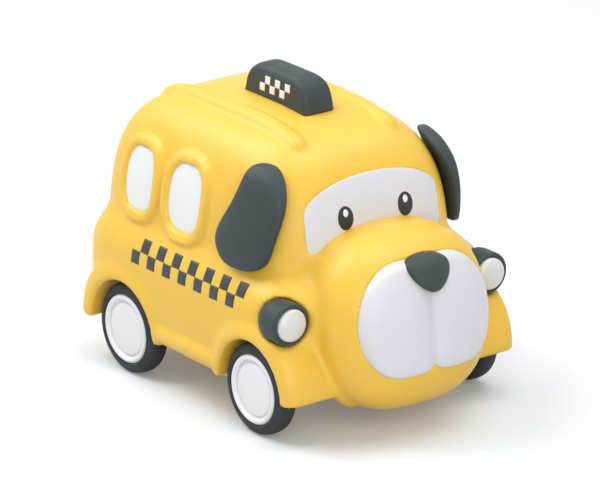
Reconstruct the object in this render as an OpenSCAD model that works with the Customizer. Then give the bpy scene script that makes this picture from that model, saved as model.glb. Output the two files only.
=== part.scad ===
// Toy taxi with a dog's face: a hollow moulded body on a base plate, with a flywheel drive on the rear axle.
// Millimetres. +X is forward, +Y is the car's left, +Z is up, and the ground is at Z = 0.

/* [Cabin] */
// Height of the roof above the ground
roof_z = 71.4; // [69:0.2:75]
// Distance from the cabin's middle to its back at its widest level
cabin_back = 38.6; // [37:0.2:40]
// Distance from the cabin's middle to its front at its widest level
cabin_ahead = 41.3; // [40:0.1:42]
// Width of the cabin at its widest level
cabin_w = 62; // [59:0.5:64]
// Middle of the cabin along the car
cabin_x = -12.6; // [-13.4:0.1:-12]
// Height of the cabin's widest level
cabin_z = 38; // [36:0.5:40]
// Squareness of the cabin's rear half seen from above
cabin_plan = 5.8; // [5:0.1:6.4]
// Squareness of the cabin's front half seen from above
cabin_front_plan = 4.4; // [4:0.1:5]
// Squareness of the cabin seen from the front
cabin_crown = 3.4; // [3:0.1:4]
// Height from which the cabin narrows towards the roof
waist_z = 30; // [27:0.5:33]
// Share of its width that the cabin loses from waist to roof
tumble = 0.11; // [0.08:0.01:0.16]
// Share of its length that the cabin loses from waist to roof
lean = 0.05; // [0:0.01:0.08]

/* [Lower body] */
// Length of the lower body
tub_l = 87.6; // [86:0.2:91]
// Width of the lower body
tub_w = 68.8; // [66:0.2:71]
// Height of the lower body's form
tub_h = 34; // [32:0.2:36]
// Middle of the lower body along the car
tub_x = -8.3; // [-9.2:0.1:-7.4]
// Middle height of the lower body
tub_z = 24.6; // [24:0.1:26]
// Squareness of the lower body seen from above
tub_plan = 7; // [6:0.1:8]
// Squareness of the lower body seen from the front
tub_crown = 3.9; // [3.4:0.1:5]
// Height of the flat underside of the moulding
base_z = 11.3; // [10.6:0.1:12]
// Thickness of the moulded wall
wall = 2.4; // [2:0.1:3]
// Radius of the soft step between cabin and lower body
cabin_blend = 5; // [3:0.5:7]

/* [Snout] */
// Length of the snout's form
snout_l = 35; // [33:0.5:38]
// Width of the snout's form
snout_w = 47.5; // [46:0.5:50]
// Height of the snout's form
snout_h = 44.4; // [43:0.2:46]
// Middle of the snout along the car
snout_x = 33.6; // [32.8:0.1:34.4]
// Middle height of the snout
snout_z = 27.6; // [27:0.1:28]
// Squareness of the snout
snout_round = 2.6; // [2.4:0.1:3.2]
// Backward lean of the snout per unit of height
snout_lean = 0.1; // [0.04:0.02:0.14]
// Place of the wall behind the chin
chin_x = 29.7; // [29:0.1:30.4]
// Radius of the crease round the snout
snout_blend = 4.2; // [3:0.1:6]

/* [Fenders] */
// Width of the car over its fenders
body_w = 72.8; // [71:0.2:75]
// Length of a front fender's form
fender_l = 33.2; // [32:0.2:35]
// Length of a rear fender's form
rear_fender_l = 35; // [34:0.2:36]
// Distance of a rear fender's middle behind its axle
rear_fender_back = 2; // [1:0.1:3]
// Width of a fender's form
fender_w = 24; // [22:0.5:26]
// Height of a fender's form
fender_h = 31.4; // [31:0.2:34]
// Middle height of a fender's form
fender_z = 11.8; // [11.5:0.1:12.5]
// Squareness of a fender
fender_round = 2.9; // [2.6:0.1:3.6]
// Radius of the crease round a fender
fender_blend = 4.3; // [3:0.1:6]
// Radius of the running board between the fenders
sill_r = 2.8; // [2.2:0.1:3.2]
// Height of the running board
sill_z = 14.8; // [14.2:0.1:15.4]
// Distance by which the running board stands out from the lower body
sill_out = 0.3; // [0:0.1:0.8]
// Gap left between a running board's end and the wheel arch
sill_end = 2.2; // [1.5:0.1:4]

/* [Windows] */
// Middle of the front side window along the car
front_pane_x = -11.1; // [-11.5:0.1:-10.7]
// Length of the front side window
front_pane_l = 13.2; // [12.4:0.1:13.6]
// Height of the front side window
front_pane_h = 16.6; // [15:0.1:17.5]
// Middle of the rear side window along the car
rear_pane_x = -30.1; // [-30.5:0.1:-29.7]
// Length of the rear side window
rear_pane_l = 11.6; // [11:0.1:12]
// Height of the rear side window
rear_pane_h = 15.8; // [14:0.1:16.5]
// Middle height of the side windows
pane_z = 50.2; // [49.5:0.1:51.5]
// Width of the back window
back_pane_w = 30; // [26:0.5:33]
// Height of the back window
back_pane_h = 14; // [12:0.5:15]
// Middle height of the back window
back_pane_z = 54; // [53:0.5:55]
// Squareness of the window panes
pane_round = 3; // [2.4:0.1:4]
// Width of the raised frame round a window
rim_w = 2.7; // [2.2:0.1:2.8]
// Height of the raised frame over the body
rim_rise = 1.3; // [0.8:0.1:1.6]
// Height of a pane's face over the body
pane_rise = 0.3; // [0:0.1:0.6]
// Depth to which a pane is let into the body
pane_sink = 1.2; // [0.8:0.1:1.4]

/* [Windscreen] */
// Width of the windscreen
screen_w = 41; // [39:0.2:43]
// Height of the windscreen at its middle
screen_h = 12.3; // [11:0.1:13]
// Middle height of the windscreen
screen_z = 54.1; // [53.5:0.1:54.5]
// Drop of the windscreen's upper edge towards its ends
screen_brow = 3; // [2:0.1:4]
// Drop of the windscreen's lower edge towards its ends
screen_sag = 5; // [4:0.1:6]
// Squareness of the windscreen's upper corners
screen_round = 2.8; // [2.6:0.1:4]
// Squareness of the windscreen's lower corners
screen_foot_round = 5; // [4:0.5:6]
// Room cut in front of the windscreen where the snout rises
screen_room = 4; // [3:0.5:6]

/* [Muzzle and nose] */
// Width of the muzzle
muzzle_w = 38.6; // [36:0.2:40]
// Rise of the muzzle over its middle
muzzle_up = 15.4; // [14:0.1:16]
// Drop of the muzzle under its middle
muzzle_down = 12.2; // [11:0.1:13]
// Middle height of the muzzle
muzzle_z = 29.6; // [29:0.1:30.4]
// Middle of a cheek's upper part, out from the groove
cheek_high_y = 6; // [5:0.2:7.6]
// Middle of a cheek's lower part, out from the groove
cheek_low_y = 9.6; // [9:0.2:10.4]
// Squareness of a cheek on its outer side
cheek_outer_round = 2.1; // [2:0.1:2.8]
// Squareness of a cheek on the side of the groove
cheek_inner_round = 4.5; // [4:0.5:6]
// Distance by which the two cheeks run into each other
cheek_lap = 0.4; // [0.3:0.1:0.8]
// Height of the muzzle's two cheeks over the body
muzzle_puff = 1.6; // [1.2:0.1:2]
// Depth of the rounding along the edge of a cheek
cheek_edge = 1.3; // [0.8:0.1:1.5]
// Depth to which the muzzle is let into the body
muzzle_sink = 1.1; // [0.8:0.1:1.3]
// Width of the nose
nose_w = 12; // [11:0.2:13]
// Height of the nose
nose_h = 8.8; // [8:0.1:10]
// Middle height of the nose
nose_z = 41.6; // [41.2:0.1:42.2]
// Thickness of the nose
nose_t = 2; // [1.8:0.1:2.6]
// Share of its width that the nose loses downwards
nose_taper = 0.5; // [0.3:0.05:0.6]
// Squareness of the nose
nose_round = 2.2; // [2:0.1:2.6]
// Share of the nose's fullness that is lost at its edge
nose_fall = 0.9; // [0.8:0.02:0.96]

/* [Ears] */
// Middle of an ear along the car
ear_x = 15; // [14.5:0.1:15.5]
// Middle height of an ear
ear_z = 52.8; // [52:0.1:53.5]
// Length of an ear along the car
ear_l = 17.8; // [16:0.2:18.4]
// Height of an ear
ear_h = 26.4; // [24:0.2:28]
// Squareness of an ear
ear_round = 2.5; // [2:0.1:2.8]
// Share of its length that an ear gains towards its tip
ear_flare = 0.3; // [0.1:0.05:0.35]
// Swing of an ear's middle line to both sides
ear_swing = 2; // [1:0.1:2.4]
// Thickness of an ear
ear_t = 4.2; // [3.5:0.1:5]
// Share of its thickness that an ear keeps at its edge
ear_rim = 0.35; // [0.3:0.01:0.45]
// Height of the fold where an ear leaves the roof's curve
ear_fold_z = 59; // [58:0.5:61]
// Slope of an ear above the fold
ear_fall = 0.35; // [0.3:0.05:0.5]
// Place along the car where an ear leaves the cabin's front corner
ear_bend_x = 18.7; // [17.7:0.1:19.7]
// Inward turn of an ear ahead of that place
ear_turn = 0.2; // [0.1:0.02:0.3]

/* [Roof] */
// Length of the roof sign
sign_l = 25.6; // [23:0.2:28]
// Width of the roof sign at its foot
sign_w = 9.4; // [8:0.2:11]
// Height of the roof sign
sign_h = 9; // [8:0.1:10]
// Middle of the roof sign along the car
sign_x = -7.6; // [-9:0.1:-6.6]
// Radius of the sign's upper corners
sign_r = 5.4; // [4.6:0.1:6]
// Inset of the sign's upper corners from its ends
sign_inset = 0.8; // [0.4:0.1:1.5]
// Radius along the sign's upper edges
sign_edge = 3; // [2.4:0.1:3.2]
// Depth of the seat that the sign stands in
sign_seat = 0.7; // [0.5:0.1:1]
// Distance between the two roof rails
rail_gap = 28; // [26:0.5:30]
// Rear end of the roof rails
rail_rear = -37.8; // [-39:0.1:-36.6]
// Front end of the roof rails
rail_front = 14.2; // [12.6:0.1:15.4]
// Width of a roof rail
rail_w = 4.6; // [4:0.1:5.5]
// Height of a roof rail over the roof
rail_rise = 1.3; // [1:0.1:2]
// Depth to which a roof rail's middle lies under the roof
rail_sink = 0.6; // [0.4:0.1:1]

/* [Lamps] */
// Diameter of a lamp housing
lamp_d = 11; // [10.6:0.1:11.6]
// Length of a lamp housing
lamp_l = 10; // [9:0.1:11]
// Distance of a lamp's front rim ahead of the front axle
lamp_ahead = 11.4; // [10.8:0.1:12]
// Distance of a lamp's middle in from the fender's outside
lamp_inset = 5.9; // [5.5:0.1:6.3]
// Height of a lamp's middle over the top of the fender
lamp_rise = 3.2; // [2.6:0.1:3.8]
// Radius of the front rim of a lamp housing
lamp_edge = 0.9; // [0.6:0.1:1]
// Diameter of a lamp lens
lens_d = 8.6; // [8:0.1:8.8]
// Depth to which a lens is let into its housing
lens_sink = 2; // [1.5:0.1:2.5]
// Height of the lens dome over its housing
lens_dome = 1.8; // [1.2:0.1:2.2]

/* [Wheels] */
// Distance between the two axles
wheelbase = 53; // [52:0.2:54]
// Place of the front axle along the car
front_axle_x = 22.7; // [22.3:0.1:23.1]
// Diameter of a tyre
tyre_d = 23.2; // [22.6:0.1:23.6]
// Width of a tyre
tyre_w = 7.2; // [6.6:0.1:8]
// Radius of a tyre's shoulders
tyre_edge = 2.4; // [2:0.1:2.7]
// Diameter of a wheel hub
hub_d = 17.7; // [17:0.1:18]
// Distance of the wheels' outer faces in from the fender's outside
wheel_inset = 1.2; // [0.8:0.1:2]
// Width of the raised ring round a hub's face
hub_ring = 1.6; // [1.2:0.1:2]
// Width of the groove inside that ring
hub_groove = 0.6; // [0.4:0.1:0.8]
// Depth of the hub's hollow face at its middle
hub_dish = 1.2; // [0.8:0.1:1.6]
// Diameter of the boss on a hub's inner side
hub_boss_d = 5.6; // [5:0.1:6.4]
// Depth of plastic left over the end of an axle
hub_skin = 2; // [1.6:0.1:2.6]
// Gap between a tyre and the wheel arch round it
arch_gap = 1.2; // [0.8:0.1:1.4]
// Gap between a tyre and the wall behind it
well_gap = 4; // [3:0.1:4.6]
// Thickness of the wall round a wheel well
well_wall = 1.8; // [1.4:0.1:2]
// Diameter of the axles
axle_d = 3; // [2.6:0.1:3.4]

/* [Base] */
// Thickness of the base plate
plate_t = 2.8; // [2.4:0.1:3]
// Rear end of the base plate
plate_rear = -44.3; // [-44.7:0.1:-43.7]
// Gap between the base plate and the walls of the wheel wells
plate_gap = 0.8; // [0.6:0.1:1.4]
// Half width of the base plate between the axles
plate_half = 28.6; // [27.6:0.1:29]
// Radius of the base plate's corners
plate_corner = 3; // [2:0.1:4]
// Length of an axle bearing along the car
bearing_l = 7; // [6:0.1:8]
// Width of an axle bearing along its axle
bearing_w = 4; // [3:0.1:5]
// Plastic left over the bore of an axle bearing
bearing_cap = 2.4; // [2:0.1:3]
// Distance of the axle bearings from the wells' walls
bearing_inset = 2.4; // [2.2:0.1:3]
// Places of the base screws along the car, rear pair and middle pair
screw_xs = [-39.9, -3.9];
// Half distances between the base screws of a pair
screw_ys = [11.4, 24];
// Diameter of a base screw's shank
screw_d = 2.6; // [2.2:0.1:3]
// Length of a base screw under its head
screw_l = 11; // [9:0.5:13]
// Diameter of a base screw's head
screw_head_d = 4.8; // [4.2:0.1:5.2]
// Height of a base screw's head
screw_head_h = 1.4; // [1.2:0.1:1.6]
// Diameter of the boss that takes a base screw
boss_d = 6.4; // [5.8:0.1:7]
// Height of the boss that takes a base screw
boss_h = 13; // [12:0.5:14]
// Reach of a boss's rib to the wall
boss_rib = 4.4; // [4.2:0.1:4.6]

/* [Drive] */
// Gear module: pitch diameter per tooth
gear_module = 0.5; // [0.48:0.01:0.52]
// Teeth of the two large gears
wheel_teeth = 24; // [23:1:26]
// Teeth of the two pinions
pinion_teeth = 10; // [10:1:11]
// Pressure angle of the teeth in degrees
pressure = 25; // [24:0.5:26]
// Play cut from each tooth at the pitch circle
tooth_play = 0.07; // [0.05:0.01:0.1]
// Width of the axle's gear
drive_gear_w = 3; // [2.6:0.1:3.2]
// Width of the idler's large gear
idler_gear_w = 2; // [1.6:0.1:2.2]
// Extra width of a pinion over the gear that it meets
pinion_extra = 0.6; // [0.4:0.1:0.8]
// Slope from the axle up to the idler, in degrees
idler_slope = 40; // [38:1:43]
// Slope from the idler up to the flywheel, in degrees
flywheel_slope = 24; // [22:1:28]
// Diameter of the idler's and the flywheel's shafts
shaft_d = 2; // [1.8:0.1:2.2]
// Diameter of the flywheel
flywheel_d = 14; // [12.5:0.1:14.4]
// Width of the flywheel's rim
flywheel_w = 4.6; // [4:0.1:5]
// Width of the flywheel's thin web
flywheel_web = 2; // [1.6:0.1:2.4]
// Radial thickness of the flywheel's rim
flywheel_rim = 2.2; // [1.8:0.1:2.6]
// Thickness of the drive case's walls
case_wall = 1; // [0.8:0.1:1.2]
// Length of each foot of the drive case
case_foot = 3; // [2:0.1:3.2]

/* [Fits] */
// Running gap between a shaft and its bore, on the radius
run_gap = 0.05; // [0.03:0.01:0.08]
// Gap between pieces that are pressed together, on the radius
press_gap = 0.02; // [0.01:0.01:0.04]
// Gap round a piece that is let into another
inlay_gap = 0.15; // [0.1:0.01:0.2]
// Gap beside and round what turns
turn_gap = 0.4; // [0.3:0.05:0.5]

/* [Hidden] */
$fn = 48;

yellow = [0.98, 0.79, 0.25];
charcoal = [0.27, 0.29, 0.31];
chalk = [0.93, 0.93, 0.95];
rubber = [0.2, 0.21, 0.23];
steel = [0.72, 0.73, 0.75];
nylon = [0.9, 0.88, 0.82];
brass = [0.78, 0.66, 0.38];

tiny = 0.01;
far = 90;
halvings = 14;
form_rows = 28;
form_columns = 52;
form_lowest = -62;
cavity_rows = 9;
cavity_columns = 20;
cavity_lowest = -80;
hidden_sides = 20;
bead_sides = 10;
rail_steps = 6;
pane_sides = 24;
back_pane_sides = 28;
screen_sides = 36;
cheek_sides = 32;
nose_sides = 28;
ear_sides = 36;
round_sides = 96;
form_core = [0, 0, 27];
form_reach = [52, 36, 42];
form_gather = 2.5;
taper_low = -0.3;
taper_high = 1.2;
root_depth = 1.2;

rear_axle_x = front_axle_x - wheelbase;
axle_z = tyre_d / 2;
axle_r = axle_d / 2;
fender_y = body_w / 2 - fender_w / 2;
fender_top = fender_z + fender_h / 2;
wheel_out = body_w / 2 - wheel_inset;
wheel_in = wheel_out - tyre_w;
well_in = wheel_in - well_gap;
arch_r = tyre_d / 2 + arch_gap;
bearing_out = well_in - well_wall - bearing_inset;
bearing_top = axle_z + axle_r + bearing_cap;
plate_waist = well_in - well_wall - plate_gap;
plate_z = base_z - plate_t;
lamp_r = lamp_d / 2;
lamp_front = front_axle_x + lamp_ahead;
lamp_y = body_w / 2 - lamp_inset;
lamp_z = fender_top + lamp_rise;
shaft_r = shaft_d / 2;

wheel_pitch = wheel_teeth * gear_module / 2;
pinion_pitch = pinion_teeth * gear_module / 2;
gear_reach = wheel_pitch + pinion_pitch;
wheel_tip = wheel_pitch + gear_module;
idler_x = rear_axle_x + gear_reach * cos(idler_slope);
idler_z = axle_z + gear_reach * sin(idler_slope);
flywheel_x = idler_x + gear_reach * cos(flywheel_slope);
flywheel_z = idler_z + gear_reach * sin(flywheel_slope);
flywheel_r = flywheel_d / 2;
drive_pinion_w = drive_gear_w + pinion_extra;
fly_pinion_w = idler_gear_w + pinion_extra;
train_w = drive_pinion_w + fly_pinion_w + flywheel_w + 4 * turn_gap;
train_y = -train_w / 2;
drive_gear_y = train_y + turn_gap + pinion_extra / 2;
idler_pinion_y = train_y + turn_gap;
fly_pinion_y = idler_pinion_y + drive_pinion_w + turn_gap;
idler_gear_y = fly_pinion_y + pinion_extra / 2;
flywheel_y = fly_pinion_y + fly_pinion_w + turn_gap;
case_axle_r = wheel_tip + turn_gap + case_wall;
case_fly_r = flywheel_r + turn_gap + case_wall;
case_half = train_w / 2 + case_wall;
case_rear = rear_axle_x - case_axle_r;

// Distance-like value of a rounded box: below zero inside, zero on its skin
function lobe(p, middle, half, plan, crown) =
    let (q = p - middle)
    let (flat = pow(abs(q.x / half.x), plan) + pow(abs(q.y / half.y), plan))
    let (g = pow(pow(flat, crown / plan) + pow(abs(q.z / half.z), crown), 1 / crown))
    norm(q) * (1 - 1 / max(g, tiny));

// Smooth union of two such values, with a soft crease of the given radius
function blend(a, b, radius) =
    let (h = max(0, min(1, 0.5 + 0.5 * (b - a) / radius)))
    b + (a - b) * h - radius * h * (1 - h);

function cabin_form(p) =
    let (rise = max(taper_low, min(taper_high, (p.z - waist_z) / (roof_z - waist_z))))
    let (long = 1 - lean * rise, wide = 1 - tumble * rise)
    let (q = [cabin_x + (p.x - cabin_x) / long, p.y / wide, p.z])
    let (front = p.x > cabin_x)
    let (half = [front ? cabin_ahead : cabin_back, cabin_w / 2, roof_z - cabin_z])
    lobe(q, [cabin_x, 0, cabin_z], half, front ? cabin_front_plan : cabin_plan, cabin_crown);

function tub_form(p) = lobe(p, [tub_x, 0, tub_z], [tub_l, tub_w, tub_h] / 2, tub_plan, tub_crown);

function snout_form(p) =
    let (q = [p.x + snout_lean * (p.z - snout_z), p.y, p.z])
    lobe(q, [snout_x, 0, snout_z], [snout_l, snout_w, snout_h] / 2, snout_round, snout_round);

function fender_form(p, x, length) =
    lobe([p.x, abs(p.y), p.z], [x, fender_y, fender_z], [length, fender_w, fender_h] / 2,
        fender_round, fender_round);

// The whole moulded form: cabin, lower body, four fenders and snout flowing into each other
function car_form(p) =
    let (upper = blend(cabin_form(p), tub_form(p), cabin_blend))
    let (rear = blend(upper, fender_form(p, rear_axle_x - rear_fender_back, rear_fender_l), fender_blend))
    let (front = blend(rear, fender_form(p, front_axle_x, fender_l), fender_blend))
    blend(front, snout_form(p), snout_blend);

// Point where a ray from inside a form passes a level of it, found by halving
function leave(form, from, way, level, near, beyond, left) =
    let (middle = (near + beyond) / 2)
    left == 0 ? from + way * middle
    : form(from + way * middle) < level
        ? leave(form, from, way, level, middle, beyond, left - 1)
        : leave(form, from, way, level, near, middle, left - 1);

function surface_point(form, from, way, level) = leave(form, from, way, level, 0, far, halvings);

function signed_power(v, power) = sign(v) * pow(abs(v), power);

// Direction of a ray of the moulding's grid, spread to suit a long car and gathered towards its corners
function form_way(turn, rise) =
    let (o = cos(rise) * oval(turn, form_reach.x, form_reach.y, form_gather))
    let (v = [o.x, o.y, form_reach.z * sin(rise)])
    v / norm(v);

// Superellipse of half sizes a and b
function oval(turn, a, b, squareness) =
    [a * signed_power(cos(turn), 2 / squareness), b * signed_power(sin(turn), 2 / squareness)];

// Closed solid over rings of points that run from one pole to the other
module skin(first, rings, last) {
    rows = len(rings);
    count = len(rings[0]);
    points = concat([first], [for (ring = rings) each ring], [last]);
    first_cap = [for (j = [0 : count - 1]) [0, 1 + (j + 1) % count, 1 + j]];
    sides = [
        for (i = [0 : rows - 2], j = [0 : count - 1])
        let (a = 1 + i * count + j, b = 1 + i * count + (j + 1) % count)
        each j < count / 2
            ? [[a, b, b + count], [a, b + count, a + count]]
            : [[a, b, a + count], [b, b + count, a + count]]
    ];
    foot = 1 + (rows - 1) * count;
    last_cap = [for (j = [0 : count - 1]) [len(points) - 1, foot + j, foot + (j + 1) % count]];
    polyhedron(points, concat(first_cap, sides, last_cap), convexity = 6);
}

// Solid of a form at a level, seen from a core inside it, with its rings from the top down to a lowest rise
module form_solid(form, core, level, rows, columns, lowest) {
    at = function (turn, rise) surface_point(form, core, form_way(turn, rise), level);
    rings = [
        for (i = [1 : rows])
        [for (j = [0 : columns - 1]) at(360 * j / columns, 90 + (lowest - 90) * i / rows)]
    ];
    skin(at(0, 90), rings, at(0, -90));
}

// Outer skin of the whole moulding
module moulding() {
    form_solid(function (p) car_form(p), form_core, 0, form_rows, form_columns, form_lowest);
}

// Hollow inside the wall of each of the forms that flow into each other, with a mouth over the base plate
module hollow() {
    cabin_core = [cabin_x, 0, cabin_z];
    tub_core = [tub_x, 0, tub_z];
    mouth = bearing_out + turn_gap;
    translate([plate_rear + wall, -mouth, base_z - tiny])
        cube([chin_x - plate_rear - 2 * wall, 2 * mouth, bearing_top + turn_gap - base_z]);
    form_solid(function (p) cabin_form(p), cabin_core, -wall, cavity_rows, cavity_columns, cavity_lowest);
    form_solid(function (p) tub_form(p), tub_core, -wall, cavity_rows, cavity_columns, cavity_lowest);
    snout_solid(-wall);
}

// Solid of the snout's own form at a level
module snout_solid(level) {
    core = [snout_x, 0, snout_z];
    form_solid(function (p) snout_form(p), core, level, cavity_rows, cavity_columns, cavity_lowest);
}

// Shares of an outline with rings of points: on a piece's face, a frame's face, a recess's mouth and a back
face_shares = [0.45, 0.8, 0.95, 1];
frame_shares = [0.75, 0.93, 1];
mouth_shares = [1];
back_share = 0.5;
ear_seat_shares = [0.9, 0.7, 0.5, 0.3];

// Powers with which a patch and an ear fall away towards their edges
edge_power = 8;
ear_power = 6;

// Degrees of an ear's sway per half height, and the share of the half height at which it starts
ear_wave = 170;
ear_wave_from = 0.12;

// Solid patch on a form: place(turn, share) gives a point inside, face(turn, share) and back are levels
module patch(form, way, place, face, back, shares, count) {
    at = function (turn, share, level) surface_point(form, place(turn, share), way, level);
    turns = [for (j = [0 : count - 1]) 360 * j / count];
    faces = [for (share = shares) [for (t = turns) at(t, share, face(t, share))]];
    backs = [for (share = [1, back_share]) [for (t = turns) at(t, share, back)]];
    skin(at(0, 0, face(0, 0)), concat(faces, backs), at(0, 0, back));
}

// Level that stays even over a patch and rounds down by the given drop at its edge
function rounded_level(level, drop, share) = level - drop * pow(share, edge_power);

// Patch on the right side with a window's outline, grown outwards by grow
module side_patch(x, length, height, grow, face, drop, back, shares) {
    car = function (p) car_form(p);
    place = function (turn, share)
        let (o = share * oval(turn, length / 2 + grow, height / 2 + grow, pane_round))
        [x + o.x, 0, pane_z + o.y];
    level = function (turn, share) rounded_level(face, drop, share);
    patch(car, [0, -1, 0], place, level, back, shares, pane_sides);
}

// Raised frame of a right side window
module side_frame(x, length, height) {
    side_patch(x, length, height, rim_w, rim_rise, rim_rise, -wall / 2, frame_shares);
}

module side_recess(x, length, height) {
    side_patch(x, length, height, inlay_gap, rim_w, 0, -pane_sink - inlay_gap, mouth_shares);
}

module back_patch(grow, face, drop, back, shares) {
    car = function (p) car_form(p);
    place = function (turn, share)
        let (o = share * oval(turn, back_pane_w / 2 + grow, back_pane_h / 2 + grow, pane_round))
        [cabin_x, -o.x, back_pane_z + o.y];
    level = function (turn, share) rounded_level(face, drop, share);
    patch(car, [-1, 0, 0], place, level, back, shares, back_pane_sides);
}

module screen_patch(grow, face, drop, back, shares) {
    cabin = function (p) cabin_form(p);
    half = screen_w / 2 + grow;
    place = function (turn, share)
        let (squareness = sin(turn) > 0 ? screen_round : screen_foot_round)
        let (o = oval(turn, half, screen_h / 2 + grow, squareness))
        let (droop = (o.y > 0 ? screen_brow : screen_sag) * pow(o.x / half, 2))
        [cabin_x, share * o.x, screen_z + share * (o.y - droop)];
    level = function (turn, share) rounded_level(face, drop, share);
    patch(cabin, [1, 0, 0], place, level, back, shares, screen_sides);
}

// Muzzle: two cheeks that meet in a groove, straight where they meet and round outside
module muzzle_cheeks(grow, face, drop, back, shares) {
    snout = function (p) snout_form(p);
    place = function (turn, share)
        let (middle = sin(turn) > 0 ? cheek_high_y : cheek_low_y)
        let (tall = sin(turn) > 0 ? muzzle_up : muzzle_down)
        let (wide = cos(turn) > 0 ? muzzle_w / 2 - middle : middle + cheek_lap)
        let (squareness = cos(turn) > 0 ? cheek_outer_round : cheek_inner_round)
        let (o = oval(turn, wide + grow, tall + grow, squareness))
        [snout_x, cheek_low_y + share * (middle + o.x - cheek_low_y), muzzle_z + share * o.y];
    level = function (turn, share) rounded_level(face, drop, share);
    mirrored_pair()
        patch(snout, [1, 0, 0], place, level, back, shares, cheek_sides);
}

module nose_patch() {
    snout = function (p) snout_form(p);
    seat = muzzle_puff + press_gap;
    place = function (turn, share)
        let (o = oval(turn, nose_w / 2, nose_h / 2, nose_round))
        [snout_x, share * o.x * (1 + nose_taper * o.y * 2 / nose_h), nose_z + share * o.y];
    level = function (turn, share) seat + nose_t * sqrt(1 - nose_fall * share * share);
    patch(snout, [1, 0, 0], place, level, seat, face_shares, nose_sides);
}

// Distance of an ear's seat from the middle plane: the cabin's side, straightened past the fold and the bend
function ear_side(x, z) =
    let (low = min(z, ear_fold_z), back = min(x, ear_bend_x))
    let (car = function (p) car_form(p))
    surface_point(car, [back, 0, low], [0, 1, 0], 0).y - ear_fall * (z - low) - ear_turn * (x - back);

// Right ear: a swaying leaf with a swelling face that hangs along the cabin's side
module ear_leaf() {
    turns = [for (j = [0 : ear_sides - 1]) 360 * j / ear_sides];
    at = function (turn, share, level)
        let (o = share * oval(turn, ear_l / 2, ear_h / 2, ear_round))
        let (t = o.y * 2 / ear_h, z = ear_z + o.y)
        let (x = ear_x + o.x * (1 - ear_flare * t) + ear_swing * sin(ear_wave * (t + ear_wave_from)))
        [x, -ear_side(x, z) - level, z];
    seat = 2 * inlay_gap;
    swell = function (share) seat + ear_t * (ear_rim + (1 - ear_rim) * sqrt(1 - pow(share, ear_power)));
    faces = [for (share = face_shares) [for (t = turns) at(t, share, swell(share))]];
    lip = [for (t = turns) at(t, 1, seat + ear_t * ear_rim / 2)];
    backs = [for (share = ear_seat_shares) [for (t = turns) at(t, share, seat)]];
    skin(at(0, 0, swell(0)), concat(faces, [lip], backs), at(0, 0, seat));
}

// Roof rail: beads along the roof, joined one to the next
module roof_rail(y) {
    car = function (p) car_form(p);
    rail_l = rail_front - rail_rear;
    bead = function (i)
        surface_point(car, [rail_rear + rail_l * i / rail_steps, y, cabin_z], [0, 0, 1], -rail_sink);
    for (i = [0 : rail_steps - 1]) {
        hull() {
            rail_bead(bead(i));
            rail_bead(bead(i + 1));
        }
    }
}

module rail_bead(at) {
    translate(at)
        scale([rail_w / 2, rail_w / 2, rail_rise + rail_sink])
            sphere(1, $fn = bead_sides);
}

module mirrored_pair() {
    children();
    mirror([0, 1, 0])
        children();
}

// Cylinder along the car's width from one distance to another on its left side
module cross_cylinder(x, z, r, from, to) {
    translate([x, from, z])
        rotate([-90, 0, 0])
            cylinder(r = r, h = to - from);
}

module wheel_wells(grow) {
    mirrored_pair()
        for (x = [rear_axle_x, front_axle_x])
            cross_cylinder(x, axle_z, arch_r + grow, well_in - grow, body_w);
}

// Running board: a round bar between the two wheel arches
module running_board() {
    y = tub_w / 2 + sill_out - sill_r;
    hull()
        for (x = [rear_axle_x + arch_r + sill_end + sill_r, front_axle_x - arch_r - sill_end - sill_r])
            translate([x, -y, sill_z])
                sphere(sill_r, $fn = hidden_sides);
}

// Boss for a base screw, with a rib to the wall
module screw_boss(x, y, rib) {
    translate([x, y, base_z])
        hull() {
            cylinder(d = boss_d, h = boss_h, $fn = hidden_sides);
            translate(rib)
                cylinder(r = wall / 2, h = boss_h / 2, $fn = bead_sides);
        }
}

module screw_places() {
    for (i = [0, 1], side = [-1, 1])
        translate([screw_xs[i], side * screw_ys[i], 0])
            children();
}

module body_shell() {
    color(yellow)
        difference() {
            union() {
                difference() {
                    moulding();
                    difference() {
                        hollow();
                        wheel_wells(well_wall);
                        mirrored_pair()
                            lamp_pocket(well_wall);
                        chin_wall();
                    }
                }
                mirrored_pair() {
                    roof_rail(-rail_gap / 2);
                    running_board();
                    side_frame(front_pane_x, front_pane_l, front_pane_h);
                    side_frame(rear_pane_x, rear_pane_l, rear_pane_h);
                    screw_boss(screw_xs[0], -screw_ys[0], [-boss_rib, 0, 0]);
                    screw_boss(screw_xs[1], -screw_ys[1], [0, -boss_rib, 0]);
                }
                back_patch(rim_w, rim_rise, rim_rise, -wall / 2, frame_shares);
            }
            underside();
            wheel_wells(0);
            axle_slots();
            body_recesses();
            translate([0, 0, base_z - tiny])
                screw_places()
                    cylinder(d = screw_d + 2 * inlay_gap, h = screw_l, $fn = bead_sides);
        }
}

// Wall that closes the chin at its back
module chin_wall() {
    translate([chin_x, -snout_w / 2, 0])
        cube([wall, snout_w, base_z + wall]);
}

// Everything under the moulding's flat underside, but for the chin
module underside() {
    difference() {
        translate([-far, -far, base_z - far])
            cube([2 * far, 2 * far, far]);
        intersection() {
            snout_solid(wall / 2);
            translate([chin_x, -far, 0])
                cube([far, 2 * far, far]);
        }
    }
}

module axle_slots() {
    for (x = [rear_axle_x, front_axle_x])
        cross_cylinder(x, axle_z, axle_r + turn_gap, -well_in - tiny, well_in + tiny);
}

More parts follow.
